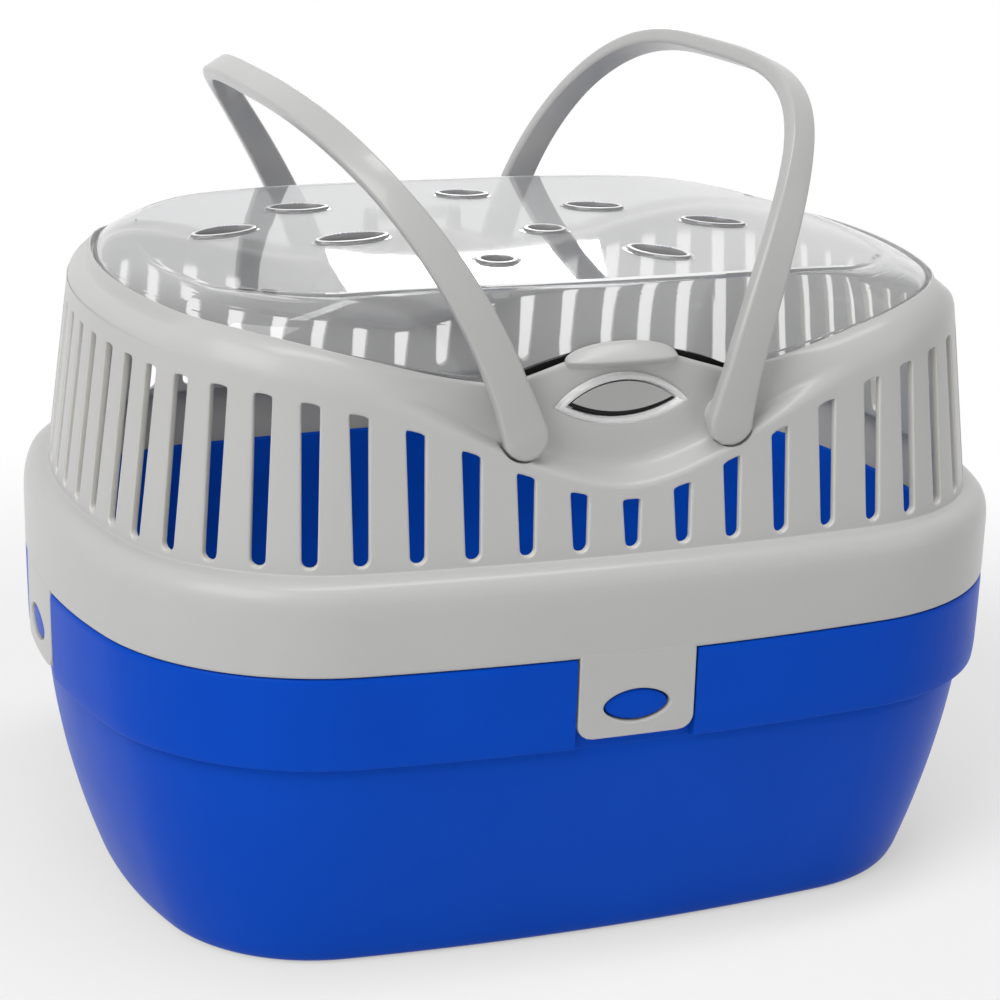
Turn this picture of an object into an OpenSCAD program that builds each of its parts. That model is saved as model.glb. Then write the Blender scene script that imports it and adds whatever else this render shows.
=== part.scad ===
// Small-pet carrier: tub, slatted cage, clear lid, two swing handles, push latch.
// X is the long side, -Y the front, Z up; the flat bottom lies on z = 0. Sizes in mm.

/* [Body] */
// half length at the seam
body_hl = 150; // [146:1:154]
// half width at the seam
body_hw = 115; // [112:1:118]
// height of the seam between tub and cage
seam_z = 98.4; // [96:0.2:100]
// wall of the tub
tub_wall = 2.2; // [1.8:0.1:2.8]
// wall of the cage
cage_wall = 2.4; // [2:0.1:2.8]
// wall of the clear lid
lid_wall = 2.0; // [1.6:0.1:2.4]

/* [Slots] */
// width of a slot at its round foot
slot_w0 = 4.4; // [3.6:0.1:5.2]
// width of a slot at its top
slot_w1 = 5.6; // [4.8:0.1:6.4]
// height of the slot feet
slot_z = 127.2; // [126:0.2:129]

/* [Handles] */
// lean of the left handle from upright
lean_l = 31; // [10:1:50]
// lean of the right handle from upright
lean_r = 23; // [10:1:50]
// height of a handle over its pivots
arch_v = 99; // [80:1:120]
// width of the strap at the pivot
strap_w0 = 12; // [10:0.5:13]
// width of the strap at the crown
strap_w1 = 8.4; // [7:0.2:11]
// thickness of the strap
strap_t = 5; // [4:0.2:5.4]

/* [Hidden] */
$fn = 64;
side_r = 777.5;
end_r = 210.3;
corner_r = 71.7;
pivot_x = 31.4;
pivot_z = 160.8;
lid_d = 23.4;
crown_z = 199.5;
hinge_y = 94;
hinge_z = 184;

// ---- plan of the body: flat arcs on the sides and ends, tighter arcs at the corners ----
c1 = [0, side_r - body_hw];
c2 = [body_hl - end_r, 0];
cc = norm(c2 - c1);
ce = (c2 - c1) / cc;
ca = (pow(side_r - corner_r, 2) - pow(end_r - corner_r, 2) + cc * cc) / (2 * cc);
ch = sqrt(pow(side_r - corner_r, 2) - ca * ca);
ck = c1 + ca * ce + ch * [-ce[1], ce[0]];
a1 = atan2(ck[1] - c1[1], ck[0] - c1[0]);
a2 = atan2(ck[1], ck[0] - c2[0]);
ns = 8;
nc = 11;
ne = 5;
quarter = concat(
  [for (i = [0:ns - 1]) [c1[0], c1[1], side_r, -90 + (a1 + 90) * i / ns]],
  [for (i = [0:nc - 1]) [ck[0], ck[1], corner_r, a1 + (a2 - a1) * i / nc]],
  [for (i = [0:ne]) [c2[0], c2[1], end_r, a2 - a2 * i / ne]]);
m = ns + nc + ne;
plan = concat(quarter,
  [for (i = [m - 1:-1:0]) [quarter[i][0], -quarter[i][1], quarter[i][2], -quarter[i][3]]],
  [for (i = [1:m]) [-quarter[i][0], -quarter[i][1], quarter[i][2], 180 + quarter[i][3]]],
  [for (i = [m - 1:-1:1]) [-quarter[i][0], quarter[i][1], quarter[i][2], 180 - quarter[i][3]]]);
n = len(plan);

// a point of the plan, set in by d, at height z
function pt(i, d, z) = [
  plan[i][0] + (plan[i][2] - d) * cos(plan[i][3]),
  plan[i][1] + (plan[i][2] - d) * sin(plan[i][3]), z];
function px(i, d) = abs(plan[i][0] + (plan[i][2] - d) * cos(plan[i][3]));
function step(v, lo, hi) = let (t = min(1, max(0, (v - lo) / (hi - lo)))) t * t * (3 - 2 * t);
function mix(p, q, t) = p + (q - p) * t;
function endness(i) = pow(cos(plan[i][3]), 2);

// rings joined into a skin; capped at both ends, or closed on itself
module loft(rows, closed = false) {
  r = len(rows);
  last = closed ? r - 1 : r - 2;
  sides = [for (j = [0:last]) for (i = [0:n - 1])
    let (k = (j + 1) % r, a = j * n + i, b = j * n + (i + 1) % n, c = k * n + i, e = k * n + (i + 1) % n)
    each [[a, c, e], [a, e, b]]];
  caps = closed ? [] : [[for (i = [0:n - 1]) i], [for (i = [n - 1:-1:0]) (r - 1) * n + i]];
  polyhedron(points = [for (row = rows) each row], faces = concat(sides, caps), convexity = 8);
}

module plan2d(d) {
  polygon([for (i = [0:n - 1]) [pt(i, d, 0)[0], pt(i, d, 0)[1]]]);
}

// a length of plan wall, from d_out to d_in, inside a strip of the given width
module wall2d(d_out, d_in, width, at_end = false, low = true) {
  s = low ? -1 : 1;
  difference() {
    intersection() {
      plan2d(d_out);
      translate(at_end ? [s * body_hl, 0] : [0, s * body_hw])
        square(at_end ? [60, width] : [width, 60], center = true);
    }
    plan2d(d_in);
  }
}

// ---- tub ----
band_z = 70.4;
function tub_d(i, z) = let (t = (band_z - z) / band_z)
  mix(3.3 + 18.9 * t, 5.8 + 15.2 * pow(t, 1.87), endness(i));
// each row: [z, extra inset, 1 = on the wall below the band]
tub_out = [[0, 2.4, 1], [0.5, 1.2, 1], [1.5, 0.4, 1], [3.5, 0.1, 1], [9, 0, 1], [20, 0, 1], [34, 0, 1],
  [50, 0, 1], [62, 0, 1], [69.4, 0, 1], [70.3, 2.6, 0], [71.4, 1.4, 0], [73.2, 0.7, 0], [76, 0.4, 0],
  [86, 0.1, 0], [seam_z - 0.9, 0, 0], [seam_z - 0.3, 0.5, 0], [seam_z - 0.3, 2.9, 0],
  [seam_z + 4.8, 2.9, 0], [seam_z + 5.4, 3.4, 0], [seam_z + 5.4, 4.6, 0], [seam_z + 4.8, 5.1, 0],
  [78, 5.3, 0]];
tub_in = [[66, 0], [50, 0], [34, 0], [20, 0], [10, 0.3], [5.6, 1.8], [3.2, 5.2], [2.5, 10]];

module tub_skin() {
  loft(concat(
    [for (r = tub_out) [for (i = [0:n - 1]) pt(i, r[1] + (r[2] == 1 ? tub_d(i, r[0]) : 0), r[0])]],
    [for (r = tub_in) [for (i = [0:n - 1]) pt(i, tub_d(i, r[0]) + tub_wall + r[1], r[0])]]));
}

module oval2d(w, h) {
  polygon([for (i = [0:31]) let (t = i * 360 / 32) [w / 2 * cos(t), h / 2 * sin(t) * (1 - 0.12 * pow(cos(t), 2))]]);
}

tab_w = 35.4;
tab_z0 = 73.6;
peg_z = 82.8;

// shapes set out on the front wall, repeated on the wall named by k
module on_side(k) {
  far = k < 2 ? body_hw : body_hl;
  turn = [0, 180, -90, 90][k];
  rotate([0, 0, turn])
    translate([0, -far, 0])
      children();
}

module peg(k) {
  on_side(k) {
    translate([0, 3.6, peg_z])
      rotate([90, 0, 0])
        linear_extrude(height = 2.9)
          oval2d(19.2, 9);
    translate([0, 0.9, peg_z])
      rotate([90, 0, 0])
        linear_extrude(height = 0.5)
          oval2d(17.6, 7.6);
  }
}

module recess(k) {
  translate([0, 0, 68])
    linear_extrude(height = 40)
      wall2d(-1, 2.9, tab_w + 1.2, k > 1, k == 0 || k == 2);
}

module tub() {
  color([0.02, 0.25, 0.78]) {
    difference() {
      tub_skin();
      for (k = [0:3]) recess(k);
    }
    for (k = [0:3]) peg(k);
  }
}

// ---- snap tabs: tongues of the cage moulding that bend out over the tub's pegs ----
module snap_tab(k) {
  end = k > 1;
  color([0.78, 0.78, 0.76])
    difference() {
      translate([0, 0, tab_z0])
        linear_extrude(height = seam_z - tab_z0)
          wall2d(0, 2.4, tab_w, end, k == 0 || k == 2);
      on_side(k) {
        translate([0, 6, peg_z])
          rotate([90, 0, 0])
            linear_extrude(height = 12)
              oval2d(20.4, 10.2);
        for (s = [-1, 1])
          translate([s * (tab_w / 2 - 5), 6, tab_z0 + 5])
            rotate([90, 0, 0])
              linear_extrude(height = 12)
                difference() {
                  translate([s * 3, -3])
                    square(6.2, center = true);
                  circle(5);
                }
      }
    }
}
module snap_tab_front() { snap_tab(0); }
module snap_tab_rear() { snap_tab(1); }
module snap_tab_left() { snap_tab(2); }
module snap_tab_right() { snap_tab(3); }

// ---- heights that follow the length of the body ----
// lower edge of the lid: an arch over each boss, low beside it, high at the ends
function lid_z(x) = x < 34
  ? 173.4 + 10.1 * (1 - pow(x / 34, 1.5))
  : 173.4 + 17.6 * (1 - cos(180 * pow(min(1, (x - 34) / 93), 0.85))) / 2;
// tops of the slots, and the lower border of the collar over them
function slot_top(x) = 141 + 36.5 * (1 - exp(-pow(x / 64, 1.8)));
function rim_z(x) = slot_top(x) + 3.3 + 2 * pow(x / 140, 2);
// inset of the slatted wall, which leans in
function wall_d(z) = 8 + 0.13 * (z - 127);
function lip_z(x) = lid_z(x) + mix(-1.1, 0.4, step(x, 20, 42));
function boss_w(i) = 1 - step(px(i, 15), 40, 74);
function ear_w(i) = 1 - step(acos(min(1, abs(cos(plan[i][3])))), 16, 42);

// the collar from its lower border (row 0) to its lip (row 8), as [inset, z]
function collar(i, j) = let (
  x = px(i, 15), z1 = rim_z(x), d1 = wall_d(z1), zt = lip_z(px(i, 23)), dt = 22.4,
  boss = [[d1, z1], [d1 + 0.8, z1 + 1], [d1 + 3.2, z1 + 2], [d1 + 6.6, z1 + 2.9], [19.3, z1 + 4.6],
    [20.2, z1 + 8], [20.8, (z1 + 8 + zt) / 2], [21.3, zt - 0.8], [dt, zt]],
  f = [0, 0.03, 0.09, 0.18, 0.31, 0.47, 0.66, 0.87, 1],
  g = [0, 0.13, 0.29, 0.45, 0.62, 0.77, 0.89, 0.975, 1],
  side = [d1 + (dt - d1) * f[j], z1 + (zt - z1) * g[j]],
  w = wall_d(181),
  ear = [[d1, z1], [wall_d(z1 + 1), z1 + 1], [w, 181.4], [w + 0.7, 183.7], [w + 2.4, 185.6], [w + 4.9, 186.6],
    [21.0, 187], [21.6, 188.4], [dt, zt]],
  p = mix(side, boss[j], boss_w(i)))
  mix(p, ear[j], ear_w(i));

function cage_out() = [
  for (r = [[seam_z, 0.3], [seam_z + 0.6, 0], [118.4, 0], [121.2, 0.6], [123.4, 2.2], [124.7, 4.6], [125.3, 6.9],
    [126.6, 8.0]])
    [for (i = [0:n - 1]) pt(i, r[1], r[0])]];
function cage_in() = let (t = cage_wall) concat(
  [[for (i = [0:n - 1]) pt(i, 22.6, lip_z(px(i, 23)) - 0.1)],
   [for (i = [0:n - 1]) pt(i, 22.6, lid_z(px(i, 23)) - 2.9)],
   [for (i = [0:n - 1]) pt(i, 26.6, lid_z(px(i, 23)) - 2.9)],
   [for (i = [0:n - 1]) pt(i, 26.6, lid_z(px(i, 23)) - 4.7)]],
  [for (j = [5, 3, 1]) [for (i = [0:n - 1]) let (c = collar(i, j)) pt(i, c[0] + t, c[1] - [0, 2, 0, 2.2, 0, 2.6][j])]],
  [for (r = [[125.8, 8.1], [123.2, 6.9], [122.5, 4.6], [121.3, 3.1], [118.4, 2.5], [seam_z, 2.5]])
    [for (i = [0:n - 1]) pt(i, r[1] + (r[0] > 125 ? t : 0), r[0])]]);

module cage_skin() {
  loft(concat(cage_out(), [for (j = [0:8]) [for (i = [0:n - 1]) let (c = collar(i, j)) pt(i, c[0], c[1])]],
    cage_in()), closed = true);
}

// slots: one at the middle of the front, a wider pitch along the side and a closer one round the end
l1 = (side_r - 10) * (a1 + 90) * PI / 180;
l2 = (corner_r - 10) * (a2 - a1) * PI / 180;
l3 = (end_r - 10) * -a2 * PI / 180;
function slot_s(k) = k <= 5 ? 15.7 * k : k <= 10 ? 78.5 + 13.95 * (k - 5)
  : mix(148.25, l1 + l2 + l3, (k - 10) / 4.5);
function arc_at(v) = v < l1 ? [c1[0], c1[1], side_r, -90 + v / (side_r - 10) * 180 / PI]
  : v < l1 + l2 ? [ck[0], ck[1], corner_r, a1 + (v - l1) / (corner_r - 10) * 180 / PI]
  : [c2[0], c2[1], end_r, a2 + (v - l1 - l2) / (end_r - 10) * 180 / PI];

module slot2d(h, tilt) {
  r = slot_w0 / 2;
  translate([0, r])
    circle(r, $fn = 24);
  polygon([[-r, r], [r, r], [slot_w1 / 2, h - tilt], [-slot_w1 / 2, h + tilt]]);
}

module slot_cut(k) {
  q = arc_at(slot_s(k));
  x = q[0] + (q[2] - 10) * cos(q[3]);
  y = q[1] + (q[2] - 10) * sin(q[3]);
  top = slot_top(x);
  rise = (slot_top(x + 0.5) - slot_top(max(0, x - 0.5))) * slot_w1 / 2 * 0.8;
  translate([x, y, slot_z])
    rotate([90, 0, q[3] + 90])
      linear_extrude(height = 17, center = true)
        slot2d(top - slot_z, k == 0 ? 0 : -rise);
}

module slot_cuts() {
  for (k = [0:14]) {
    slot_cut(k);
    mirror([0, 1, 0]) slot_cut(k);
    if (k > 0)
      mirror([1, 0, 0]) {
        slot_cut(k);
        mirror([0, 1, 0]) slot_cut(k);
      }
  }
}

// pointed oval of the latch: corners at z 166.2, arcs up to z 175.2 and down to z 160.4
module lens2d(grow = 0) {
  up = (20.3 * 20.3 + 9 * 9) / 18;
  dn = (20.3 * 20.3 + 5.8 * 5.8) / 11.6;
  intersection() {
    translate([0, 9 - up])
      circle(up + grow, $fn = 160);
    translate([0, dn - 5.8])
      circle(dn + grow, $fn = 160);
  }
}
lens_z = 166.2;

// places a flat shape, drawn in x and z, between two depths y0 < y1
module between(y0, y1) {
  translate([0, y1, 0])
    rotate([90, 0, 0])
      linear_extrude(height = y1 - y0)
        children();
}

// visor over the latch: its top slopes forward, its front edge bows out
module thumb_lip() {
  intersection() {
    translate([-20, 0, 0])
      rotate([90, 0, 90])
        linear_extrude(height = 40)
          polygon([[-92.7, 175.4], [-94.8, 175.7], [-97.7, 177.5], [-98.7, 178.5], [-98.5, 179.4],
            [-97.2, 181], [-95.4, 182.9], [-94.2, 183.8], [-92.7, 184.1]]);
    translate([0, -67.3, 170])
      cylinder(h = 20, r = 31.4, $fn = 160);
    translate([0, -85, 158.6])
      rotate([90, 0, 0])
        cylinder(h = 20, r = 25.4, $fn = 160);
  }
}

module cage() {
  color([0.78, 0.78, 0.76])
    difference() {
      union() {
        difference() {
          cage_skin();
          slot_cuts();
        }
        for (s = [-1, 1]) for (x = [-1, 1])
          translate([x * pivot_x, s > 0 ? 90.2 : -97.6, pivot_z])
            rotate([-90, 0, 0])
              cylinder(h = 7.4, r = 5.3);
        thumb_lip();
        for (x = [-1, 1])
          translate([x * 15.3 - 1.9, 92.1, 174])
            cube([3.8, 4.5, 10]);
        for (x = [-1, 1])
          translate([x * 15.3 - 1.9, 94, 184])
            rotate([0, 90, 0])
              cylinder(h = 3.8, r = 2.6);
      }
      for (x = [-1, 1])
        translate([x * pivot_x, -110, pivot_z])
          rotate([-90, 0, 0])
            cylinder(h = 220, r = 3.56);
      // room behind the pads for the heads of the handles' pegs
      for (s = [-1, 1]) for (x = [-1, 1])
        translate([x * pivot_x, s > 0 ? 84 : -90.15, pivot_z])
          rotate([-90, 0, 0])
            cylinder(h = 6.15, r = 4.9);
      // round seats in the shelf for the handles' end discs
      for (s = [-1, 1]) for (x = [-1, 1])
        translate([x * pivot_x, s > 0 ? 97.6 : -107.6, pivot_z])
          rotate([-90, 0, 0])
            cylinder(h = 10, r = strap_w0 / 2 + 0.5);
      translate([-30, hinge_y, hinge_z])
        rotate([0, 90, 0])
          cylinder(h = 60, r = 1.58);
      translate([-13, 90, 178.6])
        cube([26, 9, 12]);
      between(-99, -93.6)
        translate([0, lens_z])
          lens2d(0.15);
      between(-99, -88)
        translate([0, lens_z])
          lens2d(-1.9);
      // pockets behind the face: for the button's flange, and for the lid's catch tongue
      translate([-13.6, -91.95, 160.4])
        cube([27.2, 8, 9.6]);
      translate([-8.6, -91.2, 160.4])
        cube([17.2, 8, 26]);
    }
}

// ---- clear lid ----
// rows of the outer face from its lower edge up to the crease, as [share of inset, share of height]
lid_f = [0, 0, 0.08, 0.22, 0.42, 0.66, 0.87, 1];
lid_g = [0, 0.14, 0.36, 0.56, 0.75, 0.9, 0.985, 1];
function crown(x, y) = crown_z - 3.6 * pow(x / 90, 2) - 0.4 * pow(y / 80, 2);
function crease(i, s) = let (p = pt(i, 32.5 + 4 * endness(i), 0)) [p[0] * s, p[1] * s];
function lid_row(i, j, t) = let (
  z0 = lid_z(px(i, 23)) - 2.5, c = crease(i, 1), zc = crown(c[0], c[1]),
  d = lid_d + t + lid_f[j] * (32.5 + 4 * endness(i) - lid_d))
  pt(i, d, z0 + lid_g[j] * (zc - t - z0));
lid_s = [0.84, 0.66, 0.48, 0.3, 0.12];
function lid_top(i, j, t) = let (c = crease(i, lid_s[j]))
  [c[0], c[1], (j == 4 ? crown_z - 0.1 : crown(c[0], c[1])) - t];

module lid_skin() {
  loft(concat(
    [for (j = [4:-1:0]) [for (i = [0:n - 1]) lid_top(i, j, lid_wall)]],
    [for (j = [7:-1:0]) [for (i = [0:n - 1]) lid_row(i, j, lid_wall)]],
    [for (j = [0:7]) [for (i = [0:n - 1]) lid_row(i, j, 0)]],
    [for (j = [0:4]) [for (i = [0:n - 1]) lid_top(i, j, 0)]]));
}

// vents: [x, y, length, turn], oval but for the two round ones
vents = [[-87.8, 10, 18, 4], [-56.7, 39.5, 17.5, -7], [-54, -9, 22, 14], [-22.5, -52.4, 9.6, 0],
  [7.2, -10, 10.4, 0], [29, -51.7, 20, -64], [66.2, -9.8, 18, -34], [37.3, 22.4, 17, -24], [3, 51, 15, -18]];
module vent_at(v) {
  translate([v[0], v[1], crown(v[0], v[1])])
    rotate([0, atan(7.2 * v[0] / 8100), 0])
      children();
}
module vent2d(v, grow) {
  rotate(v[3])
    if (v[2] < 12)
      circle(v[2] / 2 + grow, $fn = 40);
    else
      oval2d(v[2] + 2 * grow, 10.6 + 2 * grow);
}

module lid() {
  color([0.9, 0.95, 0.97, 0.35])
    difference() {
      union() {
        lid_skin();
        for (v = vents)
          vent_at(v)
            translate([0, 0, -1])
              linear_extrude(height = 1.8)
                vent2d(v, 1.4);
        // catch tongue behind the latch, and the hinge barrel with its two arms
        translate([-8, -90.4, 170.6])
          cube([16, 1.9, 12.4]);
        translate([-8, -88.6, 170.6])
          cube([16, 1.2, 1.9]);
        translate([-11.8, hinge_y, hinge_z])
          rotate([0, 90, 0])
            cylinder(h = 23.6, r = 2.3);
        translate([-17.4, hinge_y, hinge_z])
          rotate([0, 90, 0])
            cylinder(h = 34.8, r = 1.5);
        translate([-11.8, 90, 182.6])
          cube([23.6, 4, 2.4]);
      }
      for (v = vents)
        vent_at(v)
          translate([0, 0, -6])
            linear_extrude(height = 12)
              vent2d(v, 0);
    }
}

// ---- handles: a flat strap arched over the lid, in its own leaning plane ----
arch_n = 60;
function arch_uv(t) = let (v = arch_v * pow(sin(t), 5 / 3))
  [-100.5 * sign(cos(t)) * pow(abs(cos(t)), 0.597) * (1 + 0.26 * v / arch_v), v];
function arch_t(k) = 180 * k / arch_n;
function arch_dir(t) = let (e = arch_uv(min(180, t + 0.5)) - arch_uv(max(0, t - 0.5))) e / norm(e);
// eight corners of the strap's section at station k; s = +1 for the right handle
function strap(k, s, lean) = let (
  t = arch_t(k), c = arch_uv(t), e = k == 0 ? [0, 1] : k == arch_n ? [0, -1] : arch_dir(t),
  o = [-e[1], e[0]], q = c[1] / arch_v, hw = mix(strap_w0, strap_w1, min(1, 1.3 * q)) / 2, ht = strap_t / 2,
  bow = -5.6 * 4 * q * (1 - q))
  [for (p = [[-1, -0.5], [-0.84, -1], [0.84, -1], [1, -0.5], [1, 0.5], [0.84, 1], [-0.84, 1], [-1, 0.5]])
    let (u = c[0] + o[0] * p[1] * ht, v = c[1] + o[1] * p[1] * ht, w = p[0] * hw + bow)
      [s * (pivot_x + v * sin(lean) + w * cos(lean)), u, pivot_z + v * cos(lean) - w * sin(lean)]];

module handle(s, lean) {
  pts = [for (k = [0:arch_n]) each strap(k, s, lean)];
  quads = [for (k = [0:arch_n - 1]) for (j = [0:7])
    let (a = k * 8 + j, b = k * 8 + (j + 1) % 8, c = a + 8, e = b + 8)
    each (s > 0 ? [[a, b, e], [a, e, c]] : [[a, e, b], [a, c, e]])];
  cap0 = [for (j = [0:7]) s > 0 ? 7 - j : j];
  cap1 = [for (j = [0:7]) arch_n * 8 + (s > 0 ? j : 7 - j)];
  color([0.76, 0.76, 0.75]) {
    polyhedron(points = pts, faces = concat(quads, [cap0, cap1]), convexity = 6);
    for (y = [-1, 1])
      translate([s * pivot_x, 0, pivot_z])
        mirror([0, y > 0 ? 1 : 0, 0]) {
          translate([0, -98, 0])
            rotate([90, 0, 0])
              cylinder(h = 5, r = strap_w0 / 2);
          translate([0, -98.5, 0])
            rotate([-90, 0, 0])
              cylinder(h = 9.5, r = 3.5);
          translate([0, -89.8, 0])
            rotate([-90, 0, 0])
              cylinder(h = 1.3, r = 4.4);
        }
  }
}
module handle_left() { handle(-1, lean_l); }
module handle_right() { handle(1, lean_r); }

// ---- latch: a push button in a lens-shaped bezel, with a hook behind the tongue ----
module latch_bezel() {
  color([0.9, 0.92, 0.93, 0.6])
    difference() {
      between(-96.5, -93.65)
        translate([0, lens_z])
          lens2d(0);
      between(-99, -90)
        translate([0, lens_z])
          lens2d(-1.9);
    }
}

module latch_button() {
  color([0.72, 0.72, 0.71]) {
    difference() {
      union() {
        between(-95.3, -93.3)
          translate([0, lens_z])
            lens2d(-2.4);
        // neck behind the plate, low enough to pass under the lid's tongue
        between(-93.4, -91.2)
          intersection() {
            translate([0, lens_z])
              lens2d(-2.4);
            translate([-20, 150])
              square([40, 19.2]);
          }
      }
      between(-99, -94.2)
        translate([0, lens_z - 0.2])
          difference() {
            lens2d(-2.1);
            translate([0, 1.6])
              lens2d(-2.4);
          }
    }
    between(-91.6, -90.1)
      translate([-13, 161])
        square([26, 8.4]);
    between(-90.2, -84.9)
      translate([-6, 162])
        square([12, 3.4]);
    between(-86.4, -84.9)
      translate([-6, 162])
        square([12, 12.6]);
    between(-86.9, -84.9)
      translate([-6, 173])
        square([12, 1.6]);
  }
}

// bent leaf that pushes the button back out, its foot seated in the cage wall below the window
module latch_spring() {
  color([0.7, 0.7, 0.72])
    translate([-3, 0, 0])
      rotate([90, 0, 90])
        linear_extrude(height = 6)
          polygon([[-92.6, 150.6], [-91.4, 150.6], [-90.6, 152.4], [-88.6, 158.4], [-89.4, 161.6],
            [-89.8, 161.6], [-89.1, 158.4], [-91.1, 152.8], [-91.7, 151.6], [-92.6, 151.6]]);
}

tub();
cage();
snap_tab_front();
snap_tab_rear();
snap_tab_left();
snap_tab_right();
lid();
handle_left();
handle_right();
latch_button();
latch_bezel();
latch_spring();
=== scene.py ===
# Small-pet carrier: the looks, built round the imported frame. Metres, +Z up, the latch faces -Y.
import math
import bmesh
import bpy
import numpy as np
from mathutils import Matrix, Vector
from mathutils.geometry import delaunay_2d_cdt


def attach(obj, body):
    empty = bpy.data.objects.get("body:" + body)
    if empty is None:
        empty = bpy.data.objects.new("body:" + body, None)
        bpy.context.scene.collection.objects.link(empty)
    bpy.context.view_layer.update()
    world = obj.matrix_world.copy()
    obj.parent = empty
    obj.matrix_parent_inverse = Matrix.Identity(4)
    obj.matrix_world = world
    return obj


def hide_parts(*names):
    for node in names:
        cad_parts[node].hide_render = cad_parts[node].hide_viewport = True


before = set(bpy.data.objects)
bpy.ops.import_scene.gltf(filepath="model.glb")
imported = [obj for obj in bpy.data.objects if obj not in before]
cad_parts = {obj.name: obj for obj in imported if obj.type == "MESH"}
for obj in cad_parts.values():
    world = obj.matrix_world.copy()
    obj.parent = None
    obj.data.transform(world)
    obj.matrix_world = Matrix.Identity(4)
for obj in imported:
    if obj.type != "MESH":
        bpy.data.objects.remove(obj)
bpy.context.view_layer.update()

# ---- camera -----------------------------------------------------------------------------------
# A long lens a little above the lid, in front and to the left, with the slight roll of the photograph.
camera_azimuth = math.radians(-20.80)
camera_elevation = math.radians(17.45)
camera_roll = math.radians(1.59)
camera_distance = 0.78543
camera_lens = 87.09
aim_height = 0.0984
aim_right, aim_up = 0.00043, 0.01001

back = Vector((math.sin(camera_azimuth) * math.cos(camera_elevation),
               -math.cos(camera_azimuth) * math.cos(camera_elevation),
               math.sin(camera_elevation)))
level_right = Vector((math.cos(camera_azimuth), math.sin(camera_azimuth), 0))
level_up = back.cross(level_right)
right = level_right * math.cos(camera_roll) + level_up * math.sin(camera_roll)
up = level_up * math.cos(camera_roll) - level_right * math.sin(camera_roll)
camera = bpy.data.objects.new("camera", bpy.data.cameras.new("camera"))
camera.data.lens = camera_lens
camera.data.sensor_width = 36
camera.data.clip_start = 0.05
camera.data.clip_end = 40
place = Vector((0, 0, aim_height)) + back * camera_distance + right * aim_right + up * aim_up
camera.matrix_world = Matrix.Translation(place) @ Matrix((right, up, back)).transposed().to_4x4()
bpy.context.scene.collection.objects.link(camera)
bpy.context.scene.camera = camera

# ---- studio -----------------------------------------------------------------------------------
# A pale floor that fades to plain white, a white room for camera, mirror and glass rays, and soft
# lamps: a large one above left, a strip overhead, a weak fill at the right and a window behind the lid.
room_light = 0.34
floor_grey, floor_radius = 0.88, 6.0
fade_start, fade_end, near_fade = 0.22, 0.50, 0.45


def add(tree, kind, values=None, **settings):
    """A new node with its settings; values go on its sockets, by name or number."""
    node = tree.nodes.new(kind)
    for name, setting in settings.items():
        setattr(node, name, setting)
    for socket, value in (values or {}).items():
        node.inputs[socket].default_value = value
    return node


def link(tree, *joins):
    """Joins sockets, each join given as (node, output, node, input)."""
    for source, output, target, socket in joins:
        tree.links.new(source.outputs[output], target.inputs[socket])


def grey(shade):
    return (shade, shade, shade, 1)


def seen_directly(tree):
    """A mask that is 1 for rays from the camera, from mirrors and through glass."""
    path = add(tree, "ShaderNodeLightPath")
    first, second = (add(tree, "ShaderNodeMath", operation="MAXIMUM") for _ in range(2))
    link(tree, (path, "Is Camera Ray", first, 0), (path, "Is Glossy Ray", first, 1),
         (first, 0, second, 0), (path, "Is Transmission Ray", second, 1))
    return second


world = bpy.data.worlds.new("white_room")
bpy.context.scene.world = world
world.use_nodes = True
sky = world.node_tree
sky.nodes.clear()
sky_out = add(sky, "ShaderNodeOutputWorld")
sky_mix = add(sky, "ShaderNodeMixShader")
sky_soft = add(sky, "ShaderNodeBackground", {"Color": grey(1), "Strength": room_light})
sky_white = add(sky, "ShaderNodeBackground", {"Color": grey(1), "Strength": 1.0})
link(sky, (seen_directly(sky), 0, sky_mix, "Fac"), (sky_soft, 0, sky_mix, 1), (sky_white, 0, sky_mix, 2),
     (sky_mix, 0, sky_out, "Surface"))

floor_mesh = bmesh.new()
bmesh.ops.create_circle(floor_mesh, cap_ends=True, segments=96, radius=floor_radius)
floor = bpy.data.objects.new("floor", bpy.data.meshes.new("floor"))
floor_mesh.to_mesh(floor.data)
floor_mesh.free()
bpy.context.scene.collection.objects.link(floor)
floor_look = bpy.data.materials.new("studio_floor")
floor_look.use_nodes = True
cloth = floor_look.node_tree
cloth.nodes.clear()
floor_out = add(cloth, "ShaderNodeOutputMaterial")
floor_matt = add(cloth, "ShaderNodeBsdfDiffuse", {"Color": grey(floor_grey)})
floor_glow = add(cloth, "ShaderNodeEmission")
floor_place = add(cloth, "ShaderNodeTexCoord")
floor_reach = add(cloth, "ShaderNodeVectorMath", operation="LENGTH")
floor_fade = add(cloth, "ShaderNodeMapRange", {"From Min": fade_start, "From Max": fade_end, "To Min": near_fade},
                 interpolation_type="SMOOTHSTEP")
floor_mask = add(cloth, "ShaderNodeMath", operation="MULTIPLY")
floor_mix = add(cloth, "ShaderNodeMixShader")
link(cloth, (floor_place, "Object", floor_reach, 0), (floor_reach, "Value", floor_fade, "Value"),
     (floor_fade, "Result", floor_mask, 0), (seen_directly(cloth), 0, floor_mask, 1),
     (floor_mask, 0, floor_mix, "Fac"), (floor_matt, 0, floor_mix, 1), (floor_glow, 0, floor_mix, 2),
     (floor_mix, 0, floor_out, "Surface"))
floor.data.materials.append(floor_look)


def lamp(name, place, aim, size, watts):
    """A soft lamp that isn't seen by the camera, straight or through the lid."""
    light = bpy.data.lights.new(name, "AREA")
    light.shape = "RECTANGLE"
    light.size, light.size_y = size
    light.energy = watts
    rig = bpy.data.objects.new(name, light)
    facing = (Vector(aim) - Vector(place)).to_track_quat("-Z", "Y").to_matrix().to_4x4()
    rig.matrix_world = Matrix.Translation(place) @ facing
    rig.visible_camera = False
    rig.visible_transmission = False
    bpy.context.scene.collection.objects.link(rig)
    return rig


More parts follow.
